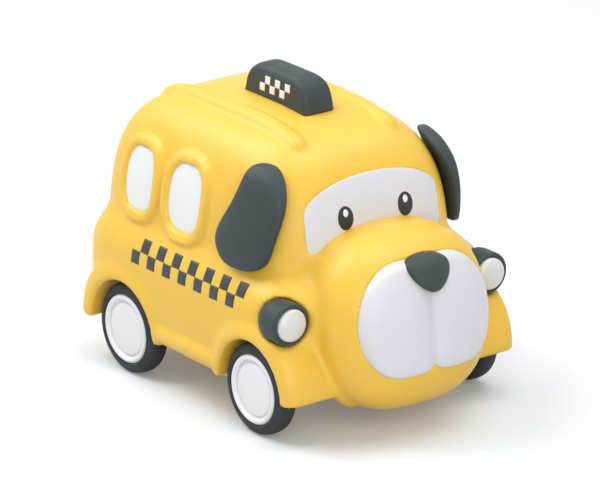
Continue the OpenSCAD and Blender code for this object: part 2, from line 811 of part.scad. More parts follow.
// Seats for everything that is let into the moulding
module body_recesses() {
    mirrored_pair() {
        side_recess(front_pane_x, front_pane_l, front_pane_h);
        side_recess(rear_pane_x, rear_pane_l, rear_pane_h);
        lamp_pocket(2 * inlay_gap);
    }
    back_patch(inlay_gap, rim_w, 0, -pane_sink - inlay_gap, mouth_shares);
    screen_patch(inlay_gap, screen_room, 0, -pane_sink - inlay_gap, mouth_shares);
    muzzle_cheeks(inlay_gap, wall, 0, -muzzle_sink - inlay_gap, mouth_shares);
    translate([sign_x - sign_l / 2 - inlay_gap, -sign_w / 2 - inlay_gap, sign_z()])
        cube([sign_l + 2 * inlay_gap, sign_w + 2 * inlay_gap, sign_h]);
}

// Height of the roof sign's foot: sunk a little under the roof's crown
function sign_z() =
    let (car = function (p) car_form(p))
    surface_point(car, [sign_x, 0, cabin_z], [0, 0, 1], 0).z - sign_seat;

module windscreen() {
    color(chalk)
        screen_patch(0, pane_rise, pane_rise, -pane_sink, face_shares);
}

module side_window(x, length, height) {
    color(chalk)
        side_patch(x, length, height, 0, pane_rise, pane_rise, -pane_sink, face_shares);
}

module window_right_front() {
    side_window(front_pane_x, front_pane_l, front_pane_h);
}

module window_right_rear() {
    side_window(rear_pane_x, rear_pane_l, rear_pane_h);
}

module window_left_front() {
    mirror([0, 1, 0])
        window_right_front();
}

module window_left_rear() {
    mirror([0, 1, 0])
        window_right_rear();
}

module back_window() {
    color(chalk)
        back_patch(0, pane_rise, pane_rise, -pane_sink, face_shares);
}

module ear_right() {
    color(charcoal)
        ear_leaf();
}

module ear_left() {
    mirror([0, 1, 0])
        ear_right();
}

module muzzle() {
    color(chalk)
        muzzle_cheeks(0, muzzle_puff, cheek_edge, -muzzle_sink, face_shares);
}

module nose() {
    color(charcoal)
        nose_patch();
}

// Loaf outline: straight foot, round upper corners
module loaf(length, height, radius, inset) {
    x = length / 2 - inset - radius;
    polygon([
        [-length / 2, 0], [length / 2, 0], [length / 2 - inset, height - radius], [x, height],
        [-x, height], [-length / 2 + inset, height - radius]
    ]);
    for (side = [-1, 1])
        translate([side * x, height - radius])
            circle(radius);
}

module roof_sign() {
    color(charcoal)
        translate([sign_x, 0, sign_z()])
            intersection() {
                translate([0, sign_w / 2, 0])
                    rotate([90, 0, 0])
                        linear_extrude(sign_w)
                            loaf(sign_l, sign_h, sign_r, sign_inset);
                translate([-sign_l / 2, 0, 0])
                    rotate([90, 0, 90])
                        linear_extrude(sign_l)
                            loaf(sign_w, sign_h, sign_edge, sign_inset / 2);
            }
}

// Places a shape turned about its own height with its height along the car, at a right-hand lamp
module at_lamp(x) {
    translate([x, -lamp_y, lamp_z])
        rotate([0, 90, 0])
            children();
}

// Pocket that a lamp sits in, open to the front, grown by the given gap or wall
module lamp_pocket(grow) {
    at_lamp(lamp_front - lamp_l + lamp_r) {
        sphere(lamp_r + grow, $fn = hidden_sides);
        cylinder(r = lamp_r + grow, h = lamp_l + grow, $fn = hidden_sides);
    }
}

// Housing: a round-backed cup with a soft front rim
module lamp_housing_right() {
    color(charcoal)
        at_lamp(lamp_front - lamp_l)
            difference() {
                rotate_extrude() {
                    intersection() {
                        translate([0, lamp_r])
                            circle(lamp_r);
                        square([lamp_r, lamp_r]);
                    }
                    translate([0, lamp_r - tiny])
                        square([lamp_r, lamp_l - lamp_r - lamp_edge + tiny]);
                    translate([0, lamp_r - tiny])
                        square([lamp_r - lamp_edge, lamp_l - lamp_r + tiny]);
                    translate([lamp_r - lamp_edge, lamp_l - lamp_edge])
                        circle(lamp_edge);
                }
                translate([0, 0, lamp_l - lens_sink])
                    cylinder(d = lens_d + 2 * press_gap, h = lens_sink + tiny);
            }
}

module lamp_housing_left() {
    mirror([0, 1, 0])
        lamp_housing_right();
}

// Lens: a disc with a domed face
module lamp_lens_right() {
    lens_r = lens_d / 2;
    dome_r = (lens_r * lens_r + lens_dome * lens_dome) / (2 * lens_dome);
    color(chalk)
        at_lamp(lamp_front - lens_sink)
            rotate_extrude() {
                square([lens_r, lens_sink]);
                intersection() {
                    translate([0, lens_sink + lens_dome - dome_r])
                        circle(dome_r);
                    translate([0, lens_sink - tiny])
                        square([lens_r, lens_dome + tiny]);
                }
            }
}

module lamp_lens_left() {
    mirror([0, 1, 0])
        lamp_lens_right();
}

// Places a turned shape on an axle, with its height towards the car's left
module at_axle(x, y) {
    translate([x, y, axle_z])
        rotate([-90, 0, 0])
            children();
}

module axle(x) {
    reach = wheel_out - hub_skin - press_gap;
    color(steel)
        at_axle(x, -reach)
            cylinder(d = axle_d, h = 2 * reach);
}

module front_axle() {
    axle(front_axle_x);
}

module rear_axle() {
    axle(rear_axle_x);
}

// Left tyre: a ring with round shoulders
module tyre(x) {
    outer = tyre_d / 2;
    color(rubber)
        at_axle(x, wheel_in)
            difference() {
                rotate_extrude($fn = round_sides) {
                    square([outer - tyre_edge, tyre_w]);
                    translate([0, tyre_edge])
                        square([outer, tyre_w - 2 * tyre_edge]);
                    for (h = [tyre_edge, tyre_w - tyre_edge])
                        translate([outer - tyre_edge, h])
                            circle(tyre_edge);
                }
                translate([0, 0, -tiny])
                    cylinder(r = hub_d / 2 + press_gap, h = tyre_w + 2 * tiny, $fn = round_sides);
            }
}

// Left hub: a dished disc with a raised ring, a groove and a boss that spaces it from the well
module hub(x) {
    r = hub_d / 2;
    ring_in = r - hub_ring;
    dish_r = ring_in - hub_groove;
    color(chalk)
        at_axle(x, wheel_in)
            difference() {
                rotate_extrude($fn = round_sides) {
                    polygon([
                        [0, 0], [r, 0], [r, tyre_w - hub_ring / 2],
                        [r - hub_ring / 2, tyre_w], [ring_in, tyre_w - hub_ring / 2],
                        [ring_in, tyre_w - hub_ring], [dish_r, tyre_w - hub_ring],
                        [dish_r, tyre_w - hub_groove], [0, tyre_w - hub_dish]
                    ]);
                    translate([r - hub_ring / 2, tyre_w - hub_ring / 2])
                        circle(hub_ring / 2);
                    translate([0, turn_gap - well_gap])
                        square([hub_boss_d / 2, well_gap - turn_gap + tiny]);
                }
                translate([0, 0, -well_gap])
                    cylinder(r = axle_r + press_gap, h = well_gap + tyre_w - hub_skin);
            }
}

module tyre_front_left() {
    tyre(front_axle_x);
}

module tyre_front_right() {
    mirror([0, 1, 0])
        tyre(front_axle_x);
}

module tyre_rear_left() {
    tyre(rear_axle_x);
}

module tyre_rear_right() {
    mirror([0, 1, 0])
        tyre(rear_axle_x);
}

module hub_front_left() {
    hub(front_axle_x);
}

module hub_front_right() {
    mirror([0, 1, 0])
        hub(front_axle_x);
}

module hub_rear_left() {
    hub(rear_axle_x);
}

module hub_rear_right() {
    mirror([0, 1, 0])
        hub(rear_axle_x);
}

// Rectangle with round corners, from x0 to x1 and as far to each side as half
module round_rectangle(x0, x1, half, r) {
    translate([x0 + r, -half])
        square([x1 - x0 - 2 * r, 2 * half]);
    translate([x0, -half + r])
        square([x1 - x0, 2 * (half - r)]);
    for (x = [x0 + r, x1 - r], y = [r - half, half - r])
        translate([x, y])
            circle(r);
}

// Base plate with its axle bearings and the opening for the drive
module chassis() {
    wing_rear = rear_axle_x + arch_r + well_wall + turn_gap;
    wing_front = front_axle_x - arch_r - well_wall - turn_gap;
    color(yellow)
        difference() {
            union() {
                translate([0, 0, plate_z])
                    linear_extrude(plate_t) {
                        round_rectangle(plate_rear, chin_x - inlay_gap, plate_waist, plate_corner);
                        round_rectangle(wing_rear, wing_front, plate_half, plate_corner);
                    }
                mirrored_pair()
                    for (x = [rear_axle_x, front_axle_x])
                        translate([x - bearing_l / 2, bearing_out - bearing_w, plate_z])
                            cube([bearing_l, bearing_w, bearing_top - plate_z]);
            }
            for (x = [rear_axle_x, front_axle_x])
                cross_cylinder(x, axle_z, axle_r + run_gap, -body_w / 2, body_w / 2);
            translate([case_rear - inlay_gap, -case_half - inlay_gap, 0])
                cube([flywheel_x - case_rear + 2 * inlay_gap, 2 * (case_half + inlay_gap), base_z + tiny]);
            translate([0, 0, plate_z - tiny])
                screw_places() {
                    cylinder(d = screw_d + 2 * inlay_gap, h = plate_t + 2 * tiny);
                    cylinder(d = screw_head_d + 2 * inlay_gap, h = screw_head_h + press_gap);
                }
        }
}

module base_screws() {
    color(steel)
        translate([0, 0, plate_z])
            screw_places() {
                cylinder(d = screw_head_d, h = screw_head_h);
                cylinder(d = screw_d, h = screw_head_h + screw_l - inlay_gap);
            }
}

// Involute of a circle of radius base at the given roll angle
function involute(base, roll) =
    base * [cos(roll) + roll * PI / 180 * sin(roll), sin(roll) - roll * PI / 180 * cos(roll)];

// Roll angle at which the involute of a base circle reaches a radius
function involute_roll(base, r) = sqrt(max(0, pow(r / base, 2) - 1)) * 180 / PI;

// Flat outline of a gear with one tooth centred on the +X direction
module gear_outline(teeth) {
    pitch_r = teeth * gear_module / 2;
    base = pitch_r * cos(pressure);
    tip = pitch_r + gear_module;
    root = pitch_r - root_depth * gear_module;
    at_pitch = involute(base, involute_roll(base, pitch_r));
    half_tooth = 90 / teeth - tooth_play / 2 / pitch_r * 180 / PI + atan2(at_pitch.y, at_pitch.x);
    start = involute_roll(base, max(base, root));
    steps = 5;
    flank = [
        for (i = [0 : steps])
        involute(base, start + (involute_roll(base, tip) - start) * i / steps)
    ];
    polygon([
        for (tooth = [0 : teeth - 1])
        each concat(
            [turned([root, 0], tooth * 360 / teeth - half_tooth)],
            [for (p = flank) turned(p, tooth * 360 / teeth - half_tooth)],
            [for (i = [steps : -1 : 0]) turned([flank[i].x, -flank[i].y], tooth * 360 / teeth + half_tooth)],
            [turned([root, 0], tooth * 360 / teeth + half_tooth)]
        )
    ]);
}

function turned(p, a) = [p.x * cos(a) - p.y * sin(a), p.x * sin(a) + p.y * cos(a)];

// Extrudes an outline drawn in the car's side view, from one width to another
module across(x, z, from, to) {
    translate([x, to, z])
        rotate([90, 0, 0])
            linear_extrude(to - from)
                children();
}

module drive_gear() {
    color(nylon)
        across(rear_axle_x, axle_z, drive_gear_y, drive_gear_y + drive_gear_w)
            difference() {
                rotate(idler_slope)
                    gear_outline(wheel_teeth);
                circle(axle_r + press_gap);
            }
}

// Idler: a pinion driven by the axle's gear, moulded to a large gear that drives the flywheel
module idler_gear() {
    color(nylon) {
        across(idler_x, idler_z, idler_pinion_y, idler_gear_y + tiny)
            difference() {
                rotate(idler_slope + 180 + 180 / pinion_teeth)
                    gear_outline(pinion_teeth);
                circle(shaft_r + press_gap);
            }
        across(idler_x, idler_z, idler_gear_y, idler_gear_y + idler_gear_w)
            difference() {
                rotate(flywheel_slope)
                    gear_outline(wheel_teeth);
                circle(shaft_r + press_gap);
            }
    }
}

module idler_shaft() {
    color(steel)
        cross_cylinder(idler_x, idler_z, shaft_r, -case_half, case_half);
}

// Flywheel: a heavy rim on a thin web
module flywheel() {
    color(brass)
        translate([flywheel_x, flywheel_y, flywheel_z])
            rotate([-90, 0, 0])
                difference() {
                    cylinder(r = flywheel_r, h = flywheel_w, $fn = round_sides);
                    translate([0, 0, flywheel_web])
                        difference() {
                            cylinder(r = flywheel_r - flywheel_rim, h = flywheel_w);
                            cylinder(r = shaft_d, h = flywheel_w);
                        }
                    translate([0, 0, -tiny])
                        cylinder(r = shaft_r + press_gap, h = flywheel_w + 2 * tiny);
                }
}

// Flywheel's shaft with the pinion cut in it
module flywheel_shaft() {
    color(steel) {
        cross_cylinder(flywheel_x, flywheel_z, shaft_r, -case_half, case_half);
        across(flywheel_x, flywheel_z, fly_pinion_y, fly_pinion_y + fly_pinion_w)
            rotate(flywheel_slope + 180 + 180 / pinion_teeth)
                gear_outline(pinion_teeth);
    }
}

// Drive case as a solid from one width to another, drawn in by inset
module case_solid(inset, from, to) {
    run = [flywheel_x - rear_axle_x, flywheel_z - axle_z];
    across_run = [-run.y, run.x] / norm(run);
    low_r = case_axle_r - inset;
    high_r = case_fly_r - inset;
    low = across_run * (low_r - case_wall / 2);
    high = across_run * (high_r - case_wall / 2);
    cross_cylinder(rear_axle_x, axle_z, low_r, from, to);
    cross_cylinder(idler_x, idler_z, low_r, from, to);
    cross_cylinder(flywheel_x, flywheel_z, high_r, from, to);
    across(rear_axle_x, axle_z, from, to)
        polygon([low, run + high, run - high, -low]);
}

module case_bores(from, to) {
    cross_cylinder(rear_axle_x, axle_z, axle_r + turn_gap, from, to);
    cross_cylinder(idler_x, idler_z, shaft_r + run_gap, from, to);
    cross_cylinder(flywheel_x, flywheel_z, shaft_r + run_gap, from, to);
}

// Drive case: a deep cup with its floor on the car's right, and two feet on the base plate
module motor_case() {
    top = axle_z + axle_r + turn_gap + case_wall;
    color(charcoal)
        difference() {
            union() {
                case_solid(0, -case_half, train_w / 2);
                translate([case_rear - case_foot, -case_half, base_z])
                    cube([case_axle_r + case_foot, case_half + train_w / 2, top - base_z]);
                translate([flywheel_x, -case_half, base_z])
                    cube([case_fly_r, case_half + train_w / 2, flywheel_z - base_z]);
            }
            case_solid(case_wall, -train_w / 2, train_w);
            case_bores(-far, far);
        }
}

module motor_cover() {
    color(charcoal)
        difference() {
            case_solid(0, train_w / 2, case_half);
            case_bores(-far, far);
        }
}

body_shell();
chassis();
base_screws();
windscreen();
window_right_front();
window_right_rear();
window_left_front();
window_left_rear();
back_window();
ear_right();
ear_left();
muzzle();
nose();
roof_sign();
lamp_housing_right();
lamp_housing_left();
lamp_lens_right();
lamp_lens_left();
front_axle();
tyre_front_right();
tyre_front_left();
hub_front_right();
hub_front_left();
rear_axle();
tyre_rear_right();
tyre_rear_left();
hub_rear_right();
hub_rear_left();
drive_gear();
idler_gear();
idler_shaft();
flywheel();
flywheel_shaft();
motor_case();
motor_cover();
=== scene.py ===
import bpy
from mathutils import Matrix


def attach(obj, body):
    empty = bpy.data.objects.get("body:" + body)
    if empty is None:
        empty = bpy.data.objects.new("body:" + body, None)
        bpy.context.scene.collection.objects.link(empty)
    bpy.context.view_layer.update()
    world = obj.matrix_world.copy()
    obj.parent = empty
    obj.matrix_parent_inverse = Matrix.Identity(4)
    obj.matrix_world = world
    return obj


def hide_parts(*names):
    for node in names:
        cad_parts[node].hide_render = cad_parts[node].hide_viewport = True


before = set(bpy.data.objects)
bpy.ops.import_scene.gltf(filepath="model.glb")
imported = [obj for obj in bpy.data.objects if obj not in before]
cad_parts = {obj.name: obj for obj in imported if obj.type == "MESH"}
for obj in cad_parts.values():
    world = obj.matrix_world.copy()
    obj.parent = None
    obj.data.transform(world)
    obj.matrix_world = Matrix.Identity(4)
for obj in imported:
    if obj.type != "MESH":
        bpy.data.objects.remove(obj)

"""Looks of a toy taxi with a dog's face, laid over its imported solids.

Shapes are worked out in millimetres in the solids' own frame: +X forward, +Y the car's left, +Z up, the
ground at Z = 0. They become metres when a mesh is made.
"""
import logging
import math
from dataclasses import dataclass, field
from enum import Enum
from typing import Callable, Protocol, Sequence

import bpy
import numpy as np
from mathutils import Vector

LOG = logging.getLogger("toy_taxi")

MM = 0.001  # metres in a millimetre
FAR = 90.0  # longest ray, and a distance that no form reaches
TINY = 0.01  # least size g that a distance is worked out from
HALVINGS = 30  # halvings of a ray's length
ROUNDING = 5  # points along a rounded corner
PASSES = 4  # passes that settle a net on its surface
LONGEST = 0.4  # longest move in a pass, as a share of a cube
NUDGE = 0.02  # half the length that a slope is measured over
LEAST_STEEP = 0.04  # least square of a slope that a move is worked out from

Array = np.ndarray
Form = Callable[[Array], Array]
Pair = tuple[float, float]
Triple = tuple[float, float, float]
Socket = bpy.types.NodeSocket
Tree = bpy.types.NodeTree


class Side(Enum):
    """Side of the car, with the sign of its Y."""

    RIGHT = -1
    LEFT = 1

    @property
    def word(self) -> str:
        """Word of the side as the solids' names use it."""
        return self.name.lower()


class Body(Enum):
    """Moving body of the frame that a piece rides on."""

    CAR = "car"
    FRONT_WHEELS = "front_wheels"
    REAR_WHEELS = "rear_wheels"


def vec(x: float, y: float, z: float) -> Array:
    """Three numbers as one array."""
    return np.array([x, y, z], dtype=float)


def signed_power(value: Array, power: float) -> Array:
    """Power of a number's size, with its sign kept."""
    return np.sign(value) * np.abs(value) ** power


def full_turn(count: int) -> Array:
    """Even turns once round, in radians."""
    return np.linspace(0.0, 2 * math.pi, count, endpoint=False)


def points_at(x: Array | float, y: Array | float, z: Array | float) -> Array:
    """Points from their coordinates, of which some may be one number for all."""
    return np.stack(np.broadcast_arrays(x, y, z), -1)


def soft_union(a: Array, b: Array, radius: float | Array) -> Array:
    """Smaller of two distances, eased over a crease of the given radius.

    The share h runs from 0 to 1 as b passes a, and the crease is lowered by radius times h (1 - h).

    Args:
        a: Distances to the first form, below zero inside it.
        b: Distances to the second form.
        radius: Radius of the crease.

    Returns:
        Distances to the two forms together.
    """
    h = np.clip(0.5 + 0.5 * (b - a) / radius, 0.0, 1.0)
    return b + (a - b) * h - radius * h * (1.0 - h)


def soft_common(a: Array, b: Array, radius: float | Array) -> Array:
    """Larger of two distances, with the edge between them rounded."""
    return -soft_union(-a, -b, radius)


def soft_cut(a: Array, b: Array, radius: float | Array) -> Array:
    """Distances to the first form with the second cut away from it."""
    return -soft_union(-a, b, radius)


def lobe(p: Array, middle: Array, half: Array, plan: float | Array, crown: float) -> Array:
    """Distance-like value of a rounded box, below zero inside.

    The size g of a point is taken by the superellipse rule in plan and then against its height, and the value
    is the point's distance from the middle times 1 - 1 / g.

    Args:
        p: Points, with their coordinates last.
        middle: Middle of the box.
        half: Half sizes of the box.
        plan: Squareness seen from above.
        crown: Squareness seen from the front.

    Returns:
        One value for each point.
    """
    q = p - middle
    share = np.abs(q) / half
    flat = share[..., 0] ** plan + share[..., 1] ** plan
    g = (flat ** (crown / plan) + share[..., 2] ** crown) ** (1.0 / crown)
    return np.linalg.norm(q, axis=-1) * (1.0 - 1.0 / np.maximum(g, TINY))


def oval_distance(u: Array, v: Array, a: float | Array, b: float | Array, squareness: float | Array) -> Array:
    """Distance-like value of a flat superellipse by the rule of a rounded box, below zero inside."""
    g = ((np.abs(u) / a) ** squareness + (np.abs(v) / b) ** squareness) ** (1.0 / squareness)
    return np.hypot(u, v) * (1.0 - 1.0 / np.maximum(g, TINY))


def oval(turn: Array, a: float, b: float, squareness: float | Array) -> tuple[Array, Array]:
    """Points of a flat superellipse at the given turns, in radians."""
    power = 2.0 / squareness
    return a * signed_power(np.cos(turn), power), b * signed_power(np.sin(turn), power)


def cast(form: Form, start: Array, way: Array, level: Array | float) -> Array:
    """Points where rays from inside a form pass a level of it, found by halving.

    Args:
        form: Distance-like function of points.
        start: First points of the rays.
        way: One direction for all rays.
        level: Level to reach, one or one for each ray.

    Returns:
        The points on the level.
    """
    near = np.zeros(start.shape[:-1])
    beyond = np.full(start.shape[:-1], FAR)
    for _ in range(HALVINGS):
        middle = (near + beyond) / 2.0
        inside = form(start + way * middle[..., None]) < level
        near = np.where(inside, middle, near)
        beyond = np.where(inside, beyond, middle)
    return start + way * ((near + beyond) / 2.0)[..., None]


@dataclass
class Surface:
    """Points and faces of a piece before it becomes a mesh.

    Attributes:
        points: Points in millimetres.
        quads: Faces of four points.
        tris: Faces of three points.
    """

    points: Array
    quads: Array
    tris: Array = field(default_factory=lambda: np.zeros((0, 3), dtype=int))

    def mirrored(self) -> "Surface":
        """The same surface on the other side of the car, facing outwards still."""
        return Surface(self.points * vec(1, -1, 1), self.quads[:, ::-1], self.tris[:, ::-1])

    def on_side(self, side: Side) -> "Surface":
        """This surface of the right side, or its mirror image for the left."""
        return self if side is Side.RIGHT else self.mirrored()

    def moved(self, shift: Array) -> "Surface":
        """The same surface at another place."""
        return Surface(self.points + shift, self.quads, self.tris)


def ringed(first: Array, rings: Array, last: Array) -> Surface:
    """Closed surface over rings of points between two poles.

    Args:
        first: Pole before the first ring.
        rings: Points as an array of rings by points by coordinates.
        last: Pole after the last ring.

    Returns:
        The surface, with quads between rings and a fan of triangles at each pole.
    """
    rows, count = rings.shape[:2]
    points = np.vstack([first[None], rings.reshape(-1, 3), last[None]])
    here = np.arange(count)
    beside = (here + 1) % count
    foot = 1 + np.arange(rows - 1)[:, None] * count
    a, b = foot + here, foot + beside
    quads = np.stack([a, b, b + count, a + count], -1).reshape(-1, 4)
    end = len(points) - 1
    low = 1 + (rows - 1) * count
    cap = np.stack([np.zeros(count, int), 1 + beside, 1 + here], -1)
    tail = np.stack([np.full(count, end), low + here, low + beside], -1)
    return Surface(points, quads, np.vstack([cap, tail]))


def rounded(before: Array, here: Array, after: Array, corner: float) -> Array:
    """Outline with its corners replaced by quadratic curves.

    Each curve starts and ends the corner's length from its corner, or a third of the way to the neighbour
    where that is less.

    Args:
        before: Point before each corner.
        here: Corners.
        after: Point after each corner.
        corner: Length of the rounding.

    Returns:
        Points of all the curves in a row.
    """

    def shortened(there: Array) -> Array:
        """Points on the way from each corner to its neighbour, at the corner's length."""
        reach = np.linalg.norm(there - here, axis=1, keepdims=True)
        return here + (there - here) * np.minimum(corner / reach, 1.0 / 3.0)

    start, end = shortened(before)[:, None], shortened(after)[:, None]
    t = np.linspace(0.0, 1.0, ROUNDING)[None, :, None]
    return ((1 - t) ** 2 * start + 2 * t * (1 - t) * here[:, None] + t**2 * end).reshape(-1, 2)


def turned(curve: Array, count: int) -> Array:
    """Rings that a curve draws about the +X line, from its distances off the line and places along it.

    Args:
        curve: Points as distance from the line and place along it.
        count: Points round the line.

    Returns:
        Points as an array of rings by points by coordinates.
    """
    turn = full_turn(count)
    radius, along = curve[:, :1], curve[:, 1:]
    return points_at(along, radius * np.cos(turn), radius * np.sin(turn))


def lathed(profile: Sequence[Pair], count: int, corner: float) -> Surface:
    """Surface of revolution about the +X line through the origin, with its corners rounded.

    Args:
        profile: Points as distance from the line and place along it; the first and last lie on the line.
        count: Points round the line.
        corner: Length of the rounding at each corner.

    Returns:
        The closed surface.
    """
    outline = np.array(profile, dtype=float)
    rings = turned(rounded(outline[:-2], outline[1:-1], outline[2:], corner), count)
    return ringed(vec(outline[0, 1], 0, 0), rings[:, ::-1], vec(outline[-1, 1], 0, 0))


def hooped(profile: Sequence[Pair], count: int, corner: float) -> Surface:
    """Closed hoop of revolution about the +X line through the origin, with its corners rounded.

    Args:
        profile: Closed outline as distance from the line and place along it.
        count: Points round the line.
        corner: Length of the rounding at each corner.

    Returns:
        The surface.
    """
    here = np.array(profile, dtype=float)
    rings = turned(rounded(np.roll(here, 1, 0), here, np.roll(here, -1, 0), corner), count)
    at = np.arange(len(rings) * count).reshape(-1, count)
    after, beside = np.roll(at, -1, 0), np.roll(at, -1, 1)
    quads = np.stack([at, beside, np.roll(after, -1, 1), after], -1).reshape(-1, 4)
    return Surface(rings.reshape(-1, 3), quads)


CORNERS = np.array([(i, j, k) for i in (0, 1) for j in (0, 1) for k in (0, 1)])
EDGES = [(a, b) for a in range(8) for b in range(a + 1, 8) if np.abs(CORNERS[a] - CORNERS[b]).sum() == 1]


def netted(form: Form, low: Array, high: Array, step: float) -> Surface:
    """Smooth surface where a form is zero, by a net over cubes.

    Each cube that the surface passes gets one point, the mean of the places where the surface crosses the
    cube's edges. Each edge of the grid that the surface crosses gets one face of four such points. The points
    then slide along the form's slope until they lie on the surface.

    Args:
        form: Distance-like function of points, below zero inside.
        low: Lowest corner of the space that is searched.
        high: Highest corner of that space.
        step: Size of a cube.

    Returns:
        The closed surface.
    """
    axes = [np.arange(a, b + step, step) for a, b in zip(low, high)]
    slab = np.stack(np.meshgrid(axes[1], axes[2], indexing="ij"), -1)
    values = np.stack(
        [form(np.concatenate([np.full(slab.shape[:2] + (1,), x), slab], -1)) for x in axes[0]]
    )
    inside = values < 0.0
    cells = tuple(n - 1 for n in values.shape)

    def corner(grid: Array, c: Array) -> Array:
        """Values of a grid at one corner of every cube."""
        return grid[c[0] : c[0] + cells[0], c[1] : c[1] + cells[1], c[2] : c[2] + cells[2]]

    count = sum(corner(inside, c).astype(np.int8) for c in CORNERS)
    active = (count > 0) & (count < 8)
    index = np.full(cells, -1)
    index[active] = np.arange(active.sum())
    at = np.argwhere(active)
    total, hits = np.zeros((len(at), 3)), np.zeros((len(at), 1))
    for a, b in EDGES:
        one = values[tuple((at + CORNERS[a]).T)]
        two = values[tuple((at + CORNERS[b]).T)]
        crossed = ((one < 0.0) != (two < 0.0))[:, None]
        share = (one / np.where(one == two, 1.0, one - two))[:, None]
        total += np.where(crossed, CORNERS[a] + share * (CORNERS[b] - CORNERS[a]), 0.0)
        hits += crossed
    points = low + step * (at + total / hits)
    quads = [_net_faces(inside, index, axis) for axis in range(3)]
    return Surface(_settled(form, points, LONGEST * step), np.vstack(quads))


def _net_faces(inside: Array, index: Array, axis: int) -> Array:
    """Faces of a net across the grid's edges along one axis.

    Args:
        inside: Whether each point of the grid is inside.
        index: Number of each cube's point.
        axis: Axis of the edges.

    Returns:
        Faces of four points, facing outwards.
    """
    solid = np.moveaxis(inside, (axis, (axis + 1) % 3, (axis + 2) % 3), (0, 1, 2))
    cube = np.moveaxis(index, (axis, (axis + 1) % 3, (axis + 2) % 3), (0, 1, 2))
    first, second = solid[:-1, 1:-1, 1:-1], solid[1:, 1:-1, 1:-1]
    quads = np.stack([cube[:, :-1, :-1], cube[:, 1:, :-1], cube[:, 1:, 1:], cube[:, :-1, 1:]], -1)
    outwards = quads[first & ~second]
    inwards = quads[~first & second][:, ::-1]
    return np.vstack([outwards, inwards])


def _settled(form: Form, points: Array, most: float) -> Array:
    """Points moved along a form's slope on to its surface.

    Args:
        form: Distance-like function of points.
        points: Points near the surface.
        most: Longest move of a point in one pass.

    Returns:
        The moved points.
    """
    for _ in range(PASSES):
        slope = np.stack(
            [(form(points + NUDGE * e) - form(points - NUDGE * e)) / (2 * NUDGE) for e in np.eye(3)], -1
        )
        steep = np.maximum((slope**2).sum(-1), LEAST_STEEP)
        move = np.clip(form(points) / np.sqrt(steep), -most, most)
        points = points - slope * (move / np.sqrt(steep))[:, None]
    return points


class Maker:
    """Turns surfaces into Blender objects that ride on the frame's bodies."""

    def __init__(self, finishes: dict[str, bpy.types.Material]) -> None:
        """Keeps the finished materials.

        Args:
            finishes: Materials by the record's slot, and by own names for prints and for the darker white of
                the face, which carries painted shade.
        """
        self.finishes = finishes

    def make(
        self,
        name: str,
        surface: Surface,
        body: Body,
        slot: str,
        replaces: Sequence[str] = (),
        finish: str | None = None,
    ) -> None:
        """Makes one piece.

        Args:
            name: Name of the piece.
            surface: Its points and faces.
            body: Body that it rides on.
            slot: The record's material slot that it takes its finish from.
            replaces: Solids that it stands for.
            finish: Material where it isn't the slot's own, such as a print.
        """
        mesh = bpy.data.meshes.new(name)
        faces = surface.quads.tolist() + surface.tris.tolist()
        mesh.from_pydata((surface.points * MM).tolist(), [], faces)
        mesh.validate()
        mesh.shade_smooth()
        mesh.materials.append(self.finishes[finish or slot])
        piece = bpy.data.objects.new(name, mesh)
        bpy.context.scene.collection.objects.link(piece)
        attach(piece, body.value)
        if replaces:
            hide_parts(*replaces)
        LOG.info("%s: %d points on %s", name, len(surface.points), body.value)

    def make_pair(
        self, name: str, right: Surface, slot: str, replaces: Sequence[str] = (), finish: str | None = None
    ) -> None:
        """Makes a piece of the car and its mirror image.

        Args:
            name: Name of the pieces, with {} for the word of the side.
            right: Surface of the right-hand piece.
            slot: The record's material slot that they take their finish from.
            replaces: Solids that they stand for, with {} for the word of the side.
            finish: Material where it isn't the slot's own.
        """
        for side in Side:
            solids = [solid.format(side.word) for solid in replaces]
            self.make(name.format(side.word), right.on_side(side), Body.CAR, slot, solids, finish)

    def dress(self, node: str, slot: str) -> None:
        """Gives a solid that stays in sight its finish.

        Args:
            node: Name of the solid.
            slot: Slot of its finish.
        """
        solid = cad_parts[node]
        solid.data.materials.clear()
        solid.data.materials.append(self.finishes[slot])
        LOG.info("%s: solid kept, %s", node, slot)


class SubAssembly(Protocol):
    """A group of pieces that makes itself."""

    def build(self, maker: Maker) -> None:
        """Makes the group's pieces.

        Args:
            maker: Maker of pieces.
        """


def add_node(tree: Tree, kind: str, inputs: dict | None = None, **settings: str) -> bpy.types.Node:
    """Adds a shader node, each input linked from a socket or set to a constant.

    Args:
        tree: Tree of nodes.
        kind: Kind of node, without the start that all kinds share.
        inputs: Sockets or constants by the input's name or number.
        settings: Settings of the node itself.

    Returns:
        The node.
    """
    node = tree.nodes.new("ShaderNode" + kind)
    for key, value in settings.items():
        setattr(node, key, value)
    for key, value in (inputs or {}).items():
        if isinstance(value, Socket):
            tree.links.new(value, node.inputs[key])
        else:
            node.inputs[key].default_value = value
    return node


def ranged(tree: Tree, value: Socket, before: Pair, after: Pair, **settings: str) -> Socket:
    """Value carried from one range to another.

    Args:
        tree: Tree of nodes.
        value: Socket of the value.
        before: Range that the value has.
        after: Range that it gets.
        settings: Settings of the node itself.

    Returns:
        Socket of the carried value.
    """
    ends = dict(zip(("From Min", "From Max", "To Min", "To Max"), (*before, *after)))
    return add_node(tree, "MapRange", {"Value": value, **ends}, **settings).outputs["Result"]


def noise(tree: Tree, place: Socket, size: float, detail: float) -> Socket:
    """Noise whose lumps have the given size in millimetres."""
    inputs = {"Vector": place, "Scale": 1.0 / (size * MM), "Detail": detail}
    return add_node(tree, "TexNoise", inputs).outputs["Fac"]


COAT_ROUGH = 0.12  # roughness of a clear gloss
THROUGH_COLOUR = (1.0, 0.6, 0.25)  # reach of red, green and blue light under a surface
THROUGH_DEPTH = 0.002  # that reach in metres
MOTTLE_RANGE = (0.35, 0.7)  # part of the slow noise that mixes the colours
ROUGH_RANGE = (0.3, 0.7)  # part of the middle noise that varies the roughness
ROUGH_SIZE = 6.0  # lumps of the slow noise to those of the middle one


